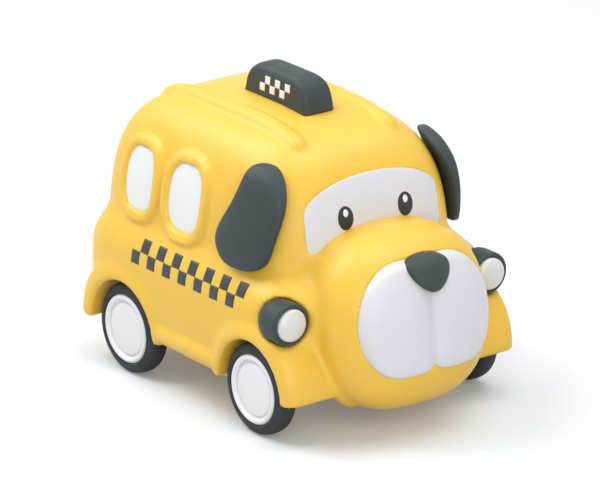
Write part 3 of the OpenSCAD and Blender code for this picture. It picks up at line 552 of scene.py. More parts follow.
@dataclass(frozen=True)
class Finish:
    """Finish of a moulded, turned or drawn material.

    Attributes:
        slot: Name of the material slot.
        colour: Base colour.
        shade: Colour in the slow mottling that every moulding has.
        mottle: Size of the mottling in millimetres.
        rough: Lowest and highest roughness.
        grain: Size of the surface grain in millimetres.
        relief: Height of the grain in millimetres.
        metal: Share of metal.
        coat: Weight of a clear gloss over it.
        through: Weight of the light that passes under the surface.
        shine: Strength of the plain reflection.
        stretch: Stretch of the grain along each axis, for brushed or turned surfaces.
    """

    slot: str
    colour: Triple
    shade: Triple
    mottle: float = 18.0
    rough: Pair = (0.36, 0.46)
    grain: float = 0.5
    relief: float = 0.01
    metal: float = 0.0
    coat: float = 0.0
    through: float = 0.0
    shine: float = 0.5
    stretch: Triple = (1.0, 1.0, 1.0)

    def material(self) -> bpy.types.Material:
        """Builds the material's nodes.

        A slow noise mixes the colour with its shade, a middle noise varies the roughness, and a fine noise
        lifts the surface. All read Object coordinates.

        Returns:
            The material.
        """
        material = bpy.data.materials.new(self.slot)
        material.use_nodes = True
        tree = material.node_tree
        place = add_node(tree, "TexCoord").outputs["Object"]
        slow = ranged(tree, noise(tree, place, self.mottle, 3.0), MOTTLE_RANGE, (0.0, 1.0))
        colours = {"Factor": slow, "A": (*self.colour, 1.0), "B": (*self.shade, 1.0)}
        mix = add_node(tree, "Mix", colours, data_type="RGBA")
        rough = ranged(tree, noise(tree, place, self.mottle / ROUGH_SIZE, 4.0), ROUGH_RANGE, self.rough)
        stretched = add_node(tree, "Mapping", {"Vector": place, "Scale": self.stretch})
        fine = noise(tree, stretched.outputs["Vector"], self.grain, 2.0)
        bump = add_node(tree, "Bump", {"Strength": 1.0, "Distance": self.relief * MM, "Height": fine})
        shader = tree.nodes["Principled BSDF"]
        shader.inputs["Metallic"].default_value = self.metal
        shader.inputs["Specular IOR Level"].default_value = self.shine
        shader.inputs["Coat Weight"].default_value = self.coat
        shader.inputs["Coat Roughness"].default_value = COAT_ROUGH
        shader.inputs["Subsurface Weight"].default_value = self.through
        shader.inputs["Subsurface Radius"].default_value = THROUGH_COLOUR
        shader.inputs["Subsurface Scale"].default_value = THROUGH_DEPTH
        tree.links.new(mix.outputs["Result"], shader.inputs["Base Color"])
        tree.links.new(rough, shader.inputs["Roughness"])
        tree.links.new(bump.outputs["Normal"], shader.inputs["Normal"])
        return material


FINISHES = (
    Finish("body_yellow", (0.885, 0.565, 0.066), (0.865, 0.538, 0.056), rough=(0.36, 0.44), relief=0.006,
           through=0.12),
    Finish("panel_white", (0.845, 0.88, 0.88), (0.815, 0.85, 0.855), rough=(0.3, 0.38), relief=0.004),
    # Darker, bluer copy of panel_white for the windscreen and cheeks: painted shade on the front faces.
    Finish("face_white", (0.735, 0.74, 0.785), (0.705, 0.71, 0.755), rough=(0.3, 0.38), relief=0.004),
    Finish("charcoal", (0.046, 0.062, 0.065), (0.038, 0.052, 0.055), rough=(0.46, 0.56), relief=0.01,
           shine=0.3),
    Finish("lens_white", (0.74, 0.75, 0.75), (0.7, 0.71, 0.71), rough=(0.12, 0.2), relief=0.002, coat=0.4),
    Finish("hub_white", (0.895, 0.9, 0.93), (0.865, 0.87, 0.905), rough=(0.3, 0.4), relief=0.004),
    Finish("tyre", (0.017, 0.023, 0.024), (0.013, 0.018, 0.019), rough=(0.6, 0.75), grain=0.35, relief=0.02),
    Finish("steel", (0.62, 0.63, 0.65), (0.55, 0.56, 0.58), rough=(0.22, 0.34), metal=1.0, grain=0.3,
           stretch=(1.0, 0.1, 1.0)),
    Finish("gear_nylon", (0.8, 0.77, 0.69), (0.77, 0.74, 0.65), rough=(0.45, 0.55), through=0.1),
    Finish("brass", (0.72, 0.5, 0.19), (0.66, 0.45, 0.17), rough=(0.25, 0.38), metal=1.0, grain=0.25,
           stretch=(1.0, 0.1, 1.0)),
    Finish("case_black", (0.045, 0.05, 0.056), (0.037, 0.041, 0.047), rough=(0.45, 0.55)),
    Finish("print_black", (0.035, 0.038, 0.042), (0.028, 0.031, 0.035), mottle=4.0, rough=(0.35, 0.45),
           relief=0.003),
    Finish("print_white", (0.88, 0.88, 0.89), (0.85, 0.85, 0.86), mottle=4.0, rough=(0.3, 0.4), relief=0.003),
    Finish("eye_black", (0.02, 0.021, 0.023), (0.016, 0.017, 0.018), mottle=3.0, rough=(0.15, 0.22),
           relief=0.001),
)


@dataclass(frozen=True)
class CarForm:
    """The blended form of the moulding: cabin, lower body, fenders and snout.

    Attributes:
        roof: Height of the roof.
        cabin: Length of the cabin behind and ahead of its middle, and half its width.
        cabin_at: Middle of the cabin.
        cabin_square: Squareness of its rear and front halves seen from above, and seen from the front.
        waist: Height from which the cabin narrows.
        tumble: Share of the width that it loses up to the roof.
        lean: Share of the length that it loses up to the roof.
        lean_range: Shares of the way from waist to roof between which tumble and lean go on.
        tub: Length, width and height of the lower body.
        tub_at: Middle of the lower body.
        tub_square: Squareness of the lower body seen from above and from the front.
        snout: Length, width and height of the snout.
        snout_at: Middle of the snout.
        snout_square: Squareness of the snout.
        snout_lean: Backward lean of the snout per unit of height.
        fender: Length, width and height of a front fender.
        fender_at: Middle of a fender across the car and in height.
        fender_square: Squareness of a fender seen from the side, and of its rim.
        rear_fender: Length of a rear fender, and the distance of its middle behind the axle.
        creases: Radius of the crease round the cabin, the fenders, and the snout at its foot and at its top.
        crease_range: Heights between which the snout's crease widens.
        front_x: Place of the front axle.
        rear_x: Place of the rear axle.
        axle_z: Height of the axles.
    """

    roof: float = 71.4
    cabin: Triple = (38.6, 41.3, 31.0)
    cabin_at: Triple = (-12.6, 0.0, 38.0)
    cabin_square: Triple = (5.8, 4.8, 3.4)
    waist: float = 30.0
    tumble: float = 0.11
    lean: float = 0.05
    lean_range: Pair = (-0.3, 1.2)
    tub: Triple = (87.6, 68.8, 34.0)
    tub_at: Triple = (-8.3, 0.0, 24.6)
    tub_square: Pair = (7.0, 3.9)
    snout: Triple = (35.0, 47.5, 44.4)
    snout_at: Triple = (33.6, 0.0, 27.6)
    snout_square: float = 2.6
    snout_lean: float = 0.1
    fender: Triple = (32.8, 23.0, 33.6)
    fender_at: Pair = (24.4, 11.8)
    fender_square: Pair = (2.2, 7.0)
    rear_fender: Pair = (34.0, 1.6)
    creases: tuple[float, float, float, float] = (5.0, 1.6, 1.4, 4.2)
    crease_range: Pair = (20.0, 38.0)
    front_x: float = 22.7
    rear_x: float = -30.3
    axle_z: float = 11.6

    def cabin_value(self, p: Array) -> Array:
        """Distance to the cabin, which narrows and shortens from its waist to its roof.

        Args:
            p: Points.

        Returns:
            Distances.
        """
        middle = np.array(self.cabin_at)
        rise = np.clip((p[..., 2] - self.waist) / (self.roof - self.waist), *self.lean_range)
        x = middle[0] + (p[..., 0] - middle[0]) / (1.0 - self.lean * rise)
        q = points_at(x, p[..., 1] / (1.0 - self.tumble * rise), p[..., 2])
        behind, ahead, wide = self.cabin
        tall = self.roof - middle[2]
        rear_plan, front_plan, crown = self.cabin_square
        front = x > middle[0]
        half = np.where(front[..., None], vec(ahead, wide, tall), vec(behind, wide, tall))
        return lobe(q, middle, half, np.where(front, front_plan, rear_plan), crown)

    def tub_value(self, p: Array) -> Array:
        """Distance to the lower body."""
        return lobe(p, np.array(self.tub_at), np.array(self.tub) / 2, *self.tub_square)

    def snout_value(self, p: Array) -> Array:
        """Distance to the snout, which leans back with its height.

        Args:
            p: Points.

        Returns:
            Distances.
        """
        square = self.snout_square
        q = p + self.snout_lean * (p[..., 2:] - self.snout_at[2]) * vec(1, 0, 0)
        return lobe(q, np.array(self.snout_at), np.array(self.snout) / 2, square, square)

    def fender_value(self, p: Array, x: float, length: float) -> Array:
        """Distance to the pair of fenders over an axle, each a round cushion that lies on its side.

        Args:
            p: Points.
            x: Middle of the fenders along the car.
            length: Their length.

        Returns:
            Distances.
        """
        q = points_at(p[..., 0], p[..., 2], np.abs(p[..., 1]))
        half = vec(length, self.fender[2], self.fender[1]) / 2
        return lobe(q, vec(x, self.fender_at[1], self.fender_at[0]), half, *self.fender_square)

    def value(self, p: Array) -> Array:
        """Distance to the whole form, the parts flowing into each other.

        Args:
            p: Points.

        Returns:
            Distances.
        """
        cabin, fender, foot, top = self.creases
        low, high = self.crease_range
        height = np.clip((p[..., 2] - low) / (high - low), 0.0, 1.0)
        length, behind = self.rear_fender
        upper = soft_union(self.cabin_value(p), self.tub_value(p), cabin)
        rear = soft_union(upper, self.fender_value(p, self.rear_x - behind, length), fender)
        front = soft_union(rear, self.fender_value(p, self.front_x, self.fender[0]), fender)
        return soft_union(front, self.snout_value(p), foot + (top - foot) * height)


@dataclass(frozen=True)
class Pane:
    """A side window.

    Attributes:
        name: Word of its place.
        x: Middle along the car.
        z: Middle height.
        length: Length.
        height: Height.
        square: Squareness of the outline.
    """

    name: str
    x: float
    z: float
    length: float
    height: float
    square: float = 3.0

    def distance(self, p: Array) -> Array:
        """Distance to the pane's outline seen from the side."""
        u, v = p[..., 0] - self.x, p[..., 2] - self.z
        return oval_distance(u, v, self.length / 2, self.height / 2, self.square)


@dataclass(frozen=True)
class PatchGrid:
    """Grid of a patch that is cast on to a form.

    Attributes:
        turns: Points round the patch.
        steps: Rings from the middle of its face to the edge.
        back_steps: Rings over its back.
    """

    turns: int = 96
    steps: int = 18
    back_steps: int = 5

    def closed(
        self,
        form: Form,
        way: Array,
        place: Callable[[Array, Array], Array],
        face: Callable[[Array], Array],
        back: float,
    ) -> Surface:
        """Closed patch with its face at levels of the form and its back at one level.

        Args:
            form: Form that the patch lies on.
            way: Direction of the rays.
            place: Start of a ray by turn and by share of the outline.
            face: Level of the face by share of the outline.
            back: Level of the back.

        Returns:
            The surface.
        """
        turn = full_turn(self.turns)[None]
        share = np.sin(np.linspace(0.0, math.pi / 2, self.steps + 1)[1:, None])
        back_share = share[::-1][:: max(1, self.steps // self.back_steps)]
        level = np.broadcast_to(face(share), (self.steps, self.turns))
        faces = cast(form, place(turn + 0 * share, share + 0 * turn), way, level)
        backs = cast(form, place(turn + 0 * back_share, back_share + 0 * turn), way, back)
        nought = np.zeros((1, 1))
        middle = place(nought, nought)
        front_pole = cast(form, middle, way, face(nought))[0, 0]
        back_pole = cast(form, middle, way, back)[0, 0]
        return ringed(front_pole, np.concatenate([faces, backs]), back_pole)


def rounded_face(level: float, drop: float, power: float = 24.0) -> Callable[[Array], Array]:
    """Level of a face that stays even and falls by drop at its edge, by the share's power."""
    return lambda share: level - drop * share**power


def domed_face(foot: float, rise: float, fall: float = 1.0, power: float = 2.0) -> Callable[[Array], Array]:
    """Level of a dome: its rise times the root of one less the fall times the share's power."""
    return lambda share: foot + rise * np.sqrt(np.maximum(0.0, 1.0 - fall * share**power))


@dataclass(frozen=True)
class OvalPrint:
    """A thin domed oval on the windscreen.

    Attributes:
        half: Half width and half height.
        foot: Level of its back over the panel's face.
        rise: Height of its dome.
        up: Height of its middle over an eye's.
        edge: Height of its edge.
    """

    half: Pair
    foot: float
    rise: float
    up: float = 0.0
    edge: float = 0.08


@dataclass
class Windscreen:
    """The pale panel under the roof, with the two printed eyes.

    Attributes:
        form: Form of the car.
        wide: Width of the panel.
        tall: Height of the panel at its middle.
        z: Middle height.
        brow: Drop of the upper edge towards the ends.
        sag: Drop of the lower edge towards the ends.
        square: Squareness of the upper and of the lower corners.
        rise: Height of its face over the cabin.
        sink: Depth to which it is let in.
        room: Room in front of it.
        lip: Further width of the moulding under the panel's edge.
        lip_end: Square of the distance from the middle plane, in half widths, where the lip ends below.
        snout_lap: Depth to which the seat may run into the snout.
        eye_at: Distance of an eye from the middle plane, and its height.
        eye: An eye.
        glint: The glint in an eye.
    """

    form: CarForm
    wide: float = 40.4
    tall: float = 12.7
    z: float = 54.3
    brow: float = 2.7
    sag: float = 5.3
    square: Pair = (3.3, 9.0)
    rise: float = 0.3
    sink: float = 1.2
    room: float = 4.0
    lip: float = 0.6
    lip_end: float = 1.2
    snout_lap: float = 0.2
    eye_at: Pair = (9.1, 51.6)
    eye: OvalPrint = OvalPrint((2.3, 2.9), -0.05, 0.22)
    glint: OvalPrint = OvalPrint((0.75, 0.95), 0.1, 0.2, up=1.25)

    def seat(self, p: Array, under: float) -> Array:
        """Distance to the panel's seat in the moulding, a little narrower than the panel that covers it.

        The outline's droop grows with the square of the distance from the middle plane, more for the lower
        edge than for the upper one, so a point's height is first freed of the droop. The cover is least at
        the lower corners, where the snout flows up to the panel.

        Args:
            p: Points.
            under: Width of the moulding under the panel's edge.

        Returns:
            Distances, below zero inside the seat.
        """
        half = self.wide / 2
        bow = (p[..., 1] / half) ** 2
        up = p[..., 2] - self.z
        high, low = up + self.brow * bow, up + self.sag * bow
        v = np.where(high > 0.0, high, np.where(low < 0.0, low, 0.0))
        cover = under + self.lip * np.where(v > 0.0, 1.0, np.clip(self.lip_end - bow, 0.0, 1.0))
        outline = oval_distance(p[..., 1], v, half, self.tall / 2, np.where(v > 0.0, *self.square)) + cover
        skin = self.form.cabin_value(p)
        seat = np.maximum(np.maximum(outline, -(skin + self.sink)), skin - self.room)
        seat = np.maximum(seat, -(self.form.snout_value(p) + self.snout_lap))
        return np.where(p[..., 0] > self.form.cabin_at[0], seat, FAR)

    def place(self, turn: Array, share: Array) -> Array:
        """Start of a ray to the panel.

        Args:
            turn: Turns round the outline.
            share: Shares of the way out to it.

        Returns:
            Points in the cabin's middle.
        """
        half = self.wide / 2
        u, v = oval(turn, half, self.tall / 2, np.where(np.sin(turn) > 0.0, *self.square))
        droop = np.where(v > 0.0, self.brow, self.sag) * (u / half) ** 2
        return points_at(self.form.cabin_at[0], share * u, self.z + share * (v - droop))

    def build(self, maker: Maker) -> None:
        """Makes the panel and the eyes.

        Args:
            maker: Maker of pieces.
        """
        face = rounded_face(self.rise, self.rise / 2)
        panel = PatchGrid(160, 22).closed(self.form.cabin_value, vec(1, 0, 0), self.place, face, -self.sink)
        # The windscreen takes the darker white, which carries painted shade.
        maker.make("windscreen_panel", panel, Body.CAR, "panel_white", ["windscreen"], finish="face_white")
        for side in Side:
            eye = self.printed(self.eye, side)
            maker.make(f"eye_{side.word}", eye, Body.CAR, "charcoal", finish="eye_black")
            glint = self.printed(self.glint, side)
            maker.make(f"eye_glint_{side.word}", glint, Body.CAR, "panel_white", finish="print_white")

    def printed(self, oval_print: OvalPrint, side: Side) -> Surface:
        """An oval of an eye on the panel.

        Args:
            oval_print: The oval.
            side: Side of the eye.

        Returns:
            The surface.
        """
        y, z = side.value * self.eye_at[0], self.eye_at[1] + oval_print.up

        def place(turn: Array, share: Array) -> Array:
            """Start of a ray to the oval."""
            u, v = oval(turn, *oval_print.half, 2.0)
            return points_at(self.form.cabin_at[0], y + share * u, z + share * v)

        foot = self.rise + oval_print.foot
        face = domed_face(foot + oval_print.edge, oval_print.rise)
        return PatchGrid(48, 8).closed(self.form.cabin_value, vec(1, 0, 0), place, face, foot)


@dataclass
class Muzzle:
    """The white muzzle with its two cheeks, and the nose.

    Attributes:
        form: Form of the car.
        wide: Width of the muzzle.
        up: Rise over its middle.
        down: Drop under its middle.
        z: Middle height.
        middles: Middle of a cheek's upper and lower part, out from the groove.
        outer: Squareness of a cheek outside.
        inner: Squareness of a cheek at the groove.
        lap: Distance by which the cheeks run into each other.
        crease: Radius of the crease where their outlines meet.
        edge: Radius of their rounded edge.
        puff: Height over the snout.
        sink: Depth to which it is let in.
        valley: Depth of the groove between the cheeks, and of the wide dip round it.
        valley_wide: Width of the groove and of the dip.
        low: Lowest corner of the space that the cheeks are drawn in.
        high: Highest corner of that space.
        step: Size of the cubes that they are drawn over.
        nose: Half width, half height and middle height of the nose.
        nose_square: Squareness of the nose.
        nose_taper: Share of its width that the nose loses downwards.
        nose_thick: Thickness of the nose.
        nose_dome: Share of the thickness' square that the nose loses at its edge, and the power of the fall.
        nose_sink: Depth to which it is let into the cheeks.
    """

    form: CarForm
    wide: float = 38.6
    up: float = 15.4
    down: float = 12.2
    z: float = 29.6
    middles: Pair = (6.0, 9.6)
    outer: float = 2.1
    inner: float = 8.0
    lap: float = 0.4
    crease: float = 2.4
    edge: float = 1.9
    puff: float = 1.6
    sink: float = 1.1
    valley: Pair = (0.95, 0.5)
    valley_wide: Pair = (2.3, 6.5)
    low: Triple = (40.4, -20.6, 15.6)
    high: Triple = (54.0, 20.6, 46.6)
    step: float = 0.4
    nose: Triple = (5.6, 4.15, 41.8)
    nose_square: float = 2.2
    nose_taper: float = 0.4
    nose_thick: float = 2.0
    nose_dome: Pair = (0.98, 2.6)
    nose_sink: float = 1.2

    def cheek(self, p: Array) -> Array:
        """Distance to the outline of the left cheek seen from the front.

        The outline is four quarters of superellipses that meet at the muzzle's middle height. The upper ones
        have their middle nearer the groove.

        Args:
            p: Points.

        Returns:
            Distances.
        """
        v = p[..., 2] - self.z
        middle = np.where(v > 0.0, *self.middles)
        u = p[..., 1] - middle
        wide = np.where(u > 0.0, self.wide / 2 - middle, middle + self.lap)
        tall = np.where(v > 0.0, self.up, self.down)
        return oval_distance(u, v, wide, tall, np.where(u > 0.0, self.outer, self.inner))

    def cheeks(self, p: Array) -> tuple[Array, Array]:
        """Distances to the outlines of both cheeks."""
        return self.cheek(p), self.cheek(p * vec(1, -1, 1))

    def seat(self, p: Array, under: float) -> Array:
        """Distance to the muzzle's seat in the moulding, a little narrower than the muzzle that covers it.

        Args:
            p: Points.
            under: Width of the moulding under the muzzle's edge.

        Returns:
            Distances, below zero inside the seat.
        """
        outline = np.minimum(*self.cheeks(p)) + under
        seat = np.maximum(outline, -(self.form.snout_value(p) + self.sink))
        return np.where(p[..., 0] > self.form.snout_at[0], seat, FAR)

    def value(self, p: Array) -> Array:
        """Distance to the two cheeks, with a soft valley between them.

        The level of the face falls by two bell curves of the distance from the middle plane: a narrow one for
        the groove and a wide one that makes the cheeks swell beside it.

        Args:
            p: Points.

        Returns:
            Distances.
        """
        skin = self.form.snout_value(p)
        outline = soft_union(*self.cheeks(p), self.crease)
        groove, swell = [
            depth * np.exp(-((p[..., 1] / wide) ** 2)) for depth, wide in zip(self.valley, self.valley_wide)
        ]
        face = skin - self.puff + (groove + swell)
        return np.maximum(soft_common(outline, face, self.edge), -(skin + self.sink))

    def build(self, maker: Maker) -> None:
        """Makes the muzzle and the nose.

        Args:
            maker: Maker of pieces.
        """
        cheeks = netted(self.value, vec(*self.low), vec(*self.high), self.step)
        # The cheeks take the darker white, which carries painted shade.
        maker.make("cheeks", cheeks, Body.CAR, "panel_white", ["muzzle"], finish="face_white")
        half_wide, half_tall, z = self.nose
        x, taper = self.form.snout_at[0], self.nose_taper

        def place(turn: Array, share: Array) -> Array:
            """Start of a ray to the nose, which narrows downwards."""
            u, v = oval(turn, half_wide, half_tall, self.nose_square)
            return points_at(x, share * u * (1.0 + taper * v / half_tall), z + share * v)

        face = domed_face(self.puff, self.nose_thick, *self.nose_dome)
        back = self.puff - self.nose_sink
        nose = PatchGrid(96, 20).closed(self.form.snout_value, vec(1, 0, 0), place, face, back)
        maker.make("nose_button", nose, Body.CAR, "charcoal", ["nose"])


@dataclass
class RoofSign:
    """The sign on the roof: a soft loaf with a plain check motif.

    Attributes:
        x: Middle along the car.
        foot: Height of its foot.
        length: Length at its foot.
        width: Width at its foot.
        height: Height.
        end: Radius of its ends seen from the side.
        edge: Radius of its upper edges.
        lean: Inward lean of its ends and of its sides.
        blend: Radius of the edge between ends and sides.
        room: Half length, half width and height of the space that it is drawn in.
        below: Depth of that space under the foot.
        step: Size of the cubes that it is drawn over.
        check: Size of a square of the motif.
        columns: Columns of the motif.
        check_up: Height of the motif's middle line over the foot.
    """

    x: float = -7.6
    foot: float = 70.7
    length: float = 25.6
    width: float = 9.4
    height: float = 8.98
    end: float = 6.0
    edge: float = 3.2
    lean: Pair = (1.4, 0.7)
    blend: float = 1.6
    room: Triple = (13.2, 5.3, 9.8)
    below: float = 0.6
    step: float = 0.3
    check: float = 2.0
    columns: int = 6
    check_up: float = 4.1

    def loaf(self, u: Array, v: Array, half: float, radius: float, lean: float) -> Array:
        """Distance to a flat loaf outline with round upper corners and leaning ends.

        It is the distance to an outline that is smaller by the corners' radius, less that radius.

        Args:
            u: Places along the outline's foot.
            v: Heights over it.
            half: Half length of the foot.
            radius: Radius of the upper corners.
            lean: Inward lean of the ends.

        Returns:
            Distances.
        """
        wide = half - lean * np.clip(v / self.height, 0.0, 1.0)
        qu = np.abs(u) - wide + radius
        qv = v - self.height + radius
        away = np.hypot(np.maximum(qu, 0.0), np.maximum(qv, 0.0))
        return away + np.minimum(np.maximum(qu, qv), 0.0) - radius

    def value(self, p: Array) -> Array:
        """Distance to the loaf.

        Args:
            p: Points.

        Returns:
            Distances.
        """
        v = p[..., 2] - self.foot
        side = self.loaf(p[..., 0] - self.x, v, self.length / 2, self.end, self.lean[0])
        front = self.loaf(p[..., 1], v, self.width / 2, self.edge, self.lean[1])
        return np.maximum(soft_common(side, front, self.blend), -v)

    def build(self, maker: Maker) -> None:
        """Makes the sign and its check motif on both sides.

        Args:
            maker: Maker of pieces.
        """
        long, wide, tall = self.room
        low = vec(self.x - long, -wide, self.foot - self.below)
        high = vec(self.x + long, wide, self.foot + tall)
        loaf = netted(self.value, low, high, self.step)
        maker.make("roof_sign_loaf", loaf, Body.CAR, "charcoal", ["roof_sign"])
        checks = check_squares(self.value, self.x, self.foot + self.check_up, self.check, self.columns)
        maker.make_pair("sign_checks_{}", checks, "panel_white", finish="print_white")


def check_squares(form: Form, x: float, z: float, size: float, columns: int) -> Surface:
    """Two rows of thin printed squares on a right-hand side, one square in each column.

    Args:
        form: Form that the squares lie on.
        x: Middle of the band along the car.
        z: Height of the line between the rows.
        size: Size of a square.
        columns: Number of columns.

    Returns:
        The squares as one surface of closed plates.
    """
    grid, thick, foot = 7, 0.05, -0.12
    column = np.arange(columns)
    middle_x = x + (column - (columns - 1) / 2) * size
    middle_z = z + np.where(column % 2 == 1, 0.5, -0.5) * size
    across = np.linspace(-0.5, 0.5, grid) * size
    u, v = np.meshgrid(across, across, indexing="ij")
    start = points_at(middle_x[:, None, None] + u, 0.0, middle_z[:, None, None] + v)
    way = vec(0, -1, 0)
    points = np.stack([cast(form, start, way, thick), cast(form, start, way, foot)], 1)
    cell = np.arange(grid * grid).reshape(grid, grid)
    top = np.stack([cell[:-1, :-1], cell[1:, :-1], cell[1:, 1:], cell[:-1, 1:]], -1).reshape(-1, 4)
    rim = np.concatenate([cell[:-1, 0], cell[-1, :-1], cell[:0:-1, -1], cell[0, :0:-1]])
    after = np.roll(rim, -1)
    under = grid * grid
    wall = np.stack([after, rim, rim + under, after + under], -1)
    plate = np.vstack([top, top[:, ::-1] + under, wall])
    quads = (plate[None] + (column * 2 * under)[:, None, None]).reshape(-1, 4)
    return Surface(points.reshape(-1, 3), quads)


@dataclass
class CheckBand:
    """The printed band of checks on the lower body's sides.

    Attributes:
        form: Form of the car.
        x: Middle along the car.
        z: Height of the line between its rows.
        size: Size of a square.
        columns: Number of columns.
    """

    form: CarForm
    x: float = -4.2
    z: float = 33.75
    size: float = 3.25
    columns: int = 14

    def build(self, maker: Maker) -> None:
        """Makes the band on both sides.

        Args:
            maker: Maker of pieces.
        """
        band = check_squares(self.form.value, self.x, self.z, self.size, self.columns)
        maker.make_pair("check_band_{}", band, "charcoal", finish="print_black")


@dataclass
class Lamps:
    """The two lamps: a round-backed housing and a domed lens.

    Attributes:
        front: Place of the front rim along the car.
        y: Distance from the middle plane.
        z: Height.
        radius: Radius of the housing.
        length: Length of the housing.
        lens: Radius of the lens.
        dome: Height of the lens' dome, and the distance of its foot behind the rim.
        pit: Depth of the lens' seat.
        fit: Room between lens and seat.
        corners: Length of the rounding on the housing and on the lens.
        count: Points round a lamp.
        bends: Points along a quarter of its round back and of its dome.
    """

    front: float = 34.1
    y: float = 30.5
    z: float = 30.7
    radius: float = 5.4
    length: float = 10.0
    lens: float = 4.15
    dome: Pair = (1.9, 0.2)
    pit: float = 2.0
    fit: float = 0.02
    corners: Pair = (0.7, 0.3)
    count: int = 96
    bends: int = 14

    def build(self, maker: Maker) -> None:
        """Makes housings and lenses, profiles turned about the lamps' lines.

        Args:
            maker: Maker of pieces.
        """
        r, rim, seat = self.radius, self.length, self.lens + self.fit
        floor, foot = rim - self.pit, rim - self.pit + self.fit
        bend = np.linspace(0.0, math.pi / 2, self.bends)
        back = [(r * math.sin(a), r - r * math.cos(a)) for a in bend]
        lip = [(r, rim - 0.5), (r - 0.6, rim), (seat + 0.5, rim), (seat, rim - 0.3)]
        housing = lathed(back + lip + [(seat, floor), (0.0, floor)], self.count, self.corners[0])
        rise, set_back = self.dome
        dome = [(self.lens * math.sin(a), rim - set_back + rise * math.cos(a)) for a in bend]
        lens = lathed([(0.0, foot), (self.lens, foot)] + dome[::-1], self.count, self.corners[1])
        for side in Side:
            shift = vec(self.front - self.length, side.value * self.y, self.z)
            for name, part, slot in (("housing", housing, "charcoal"), ("lens", lens, "lens_white")):
                place = f"{name}_{side.word}"
                maker.make(f"headlamp_{place}", part.moved(shift), Body.CAR, slot, [f"lamp_{place}"])


@dataclass(frozen=True)
class Roundings:
    """Radii of the moulding's creases and edges.

    Attributes:
        trim: Crease along a roof rail and round a window's frame.
        board: Crease along a running board.
        base: Lower edge of the body.
        arch: Edge of a wheel arch.
        well: Inner edge of a wheel well.
        seat: Edge of a seat or of a lamp's pocket.
    """

    trim: float = 0.7
    board: float = 0.9
    base: float = 1.2
    arch: float = 0.9
    well: float = 0.8
    seat: float = 0.8


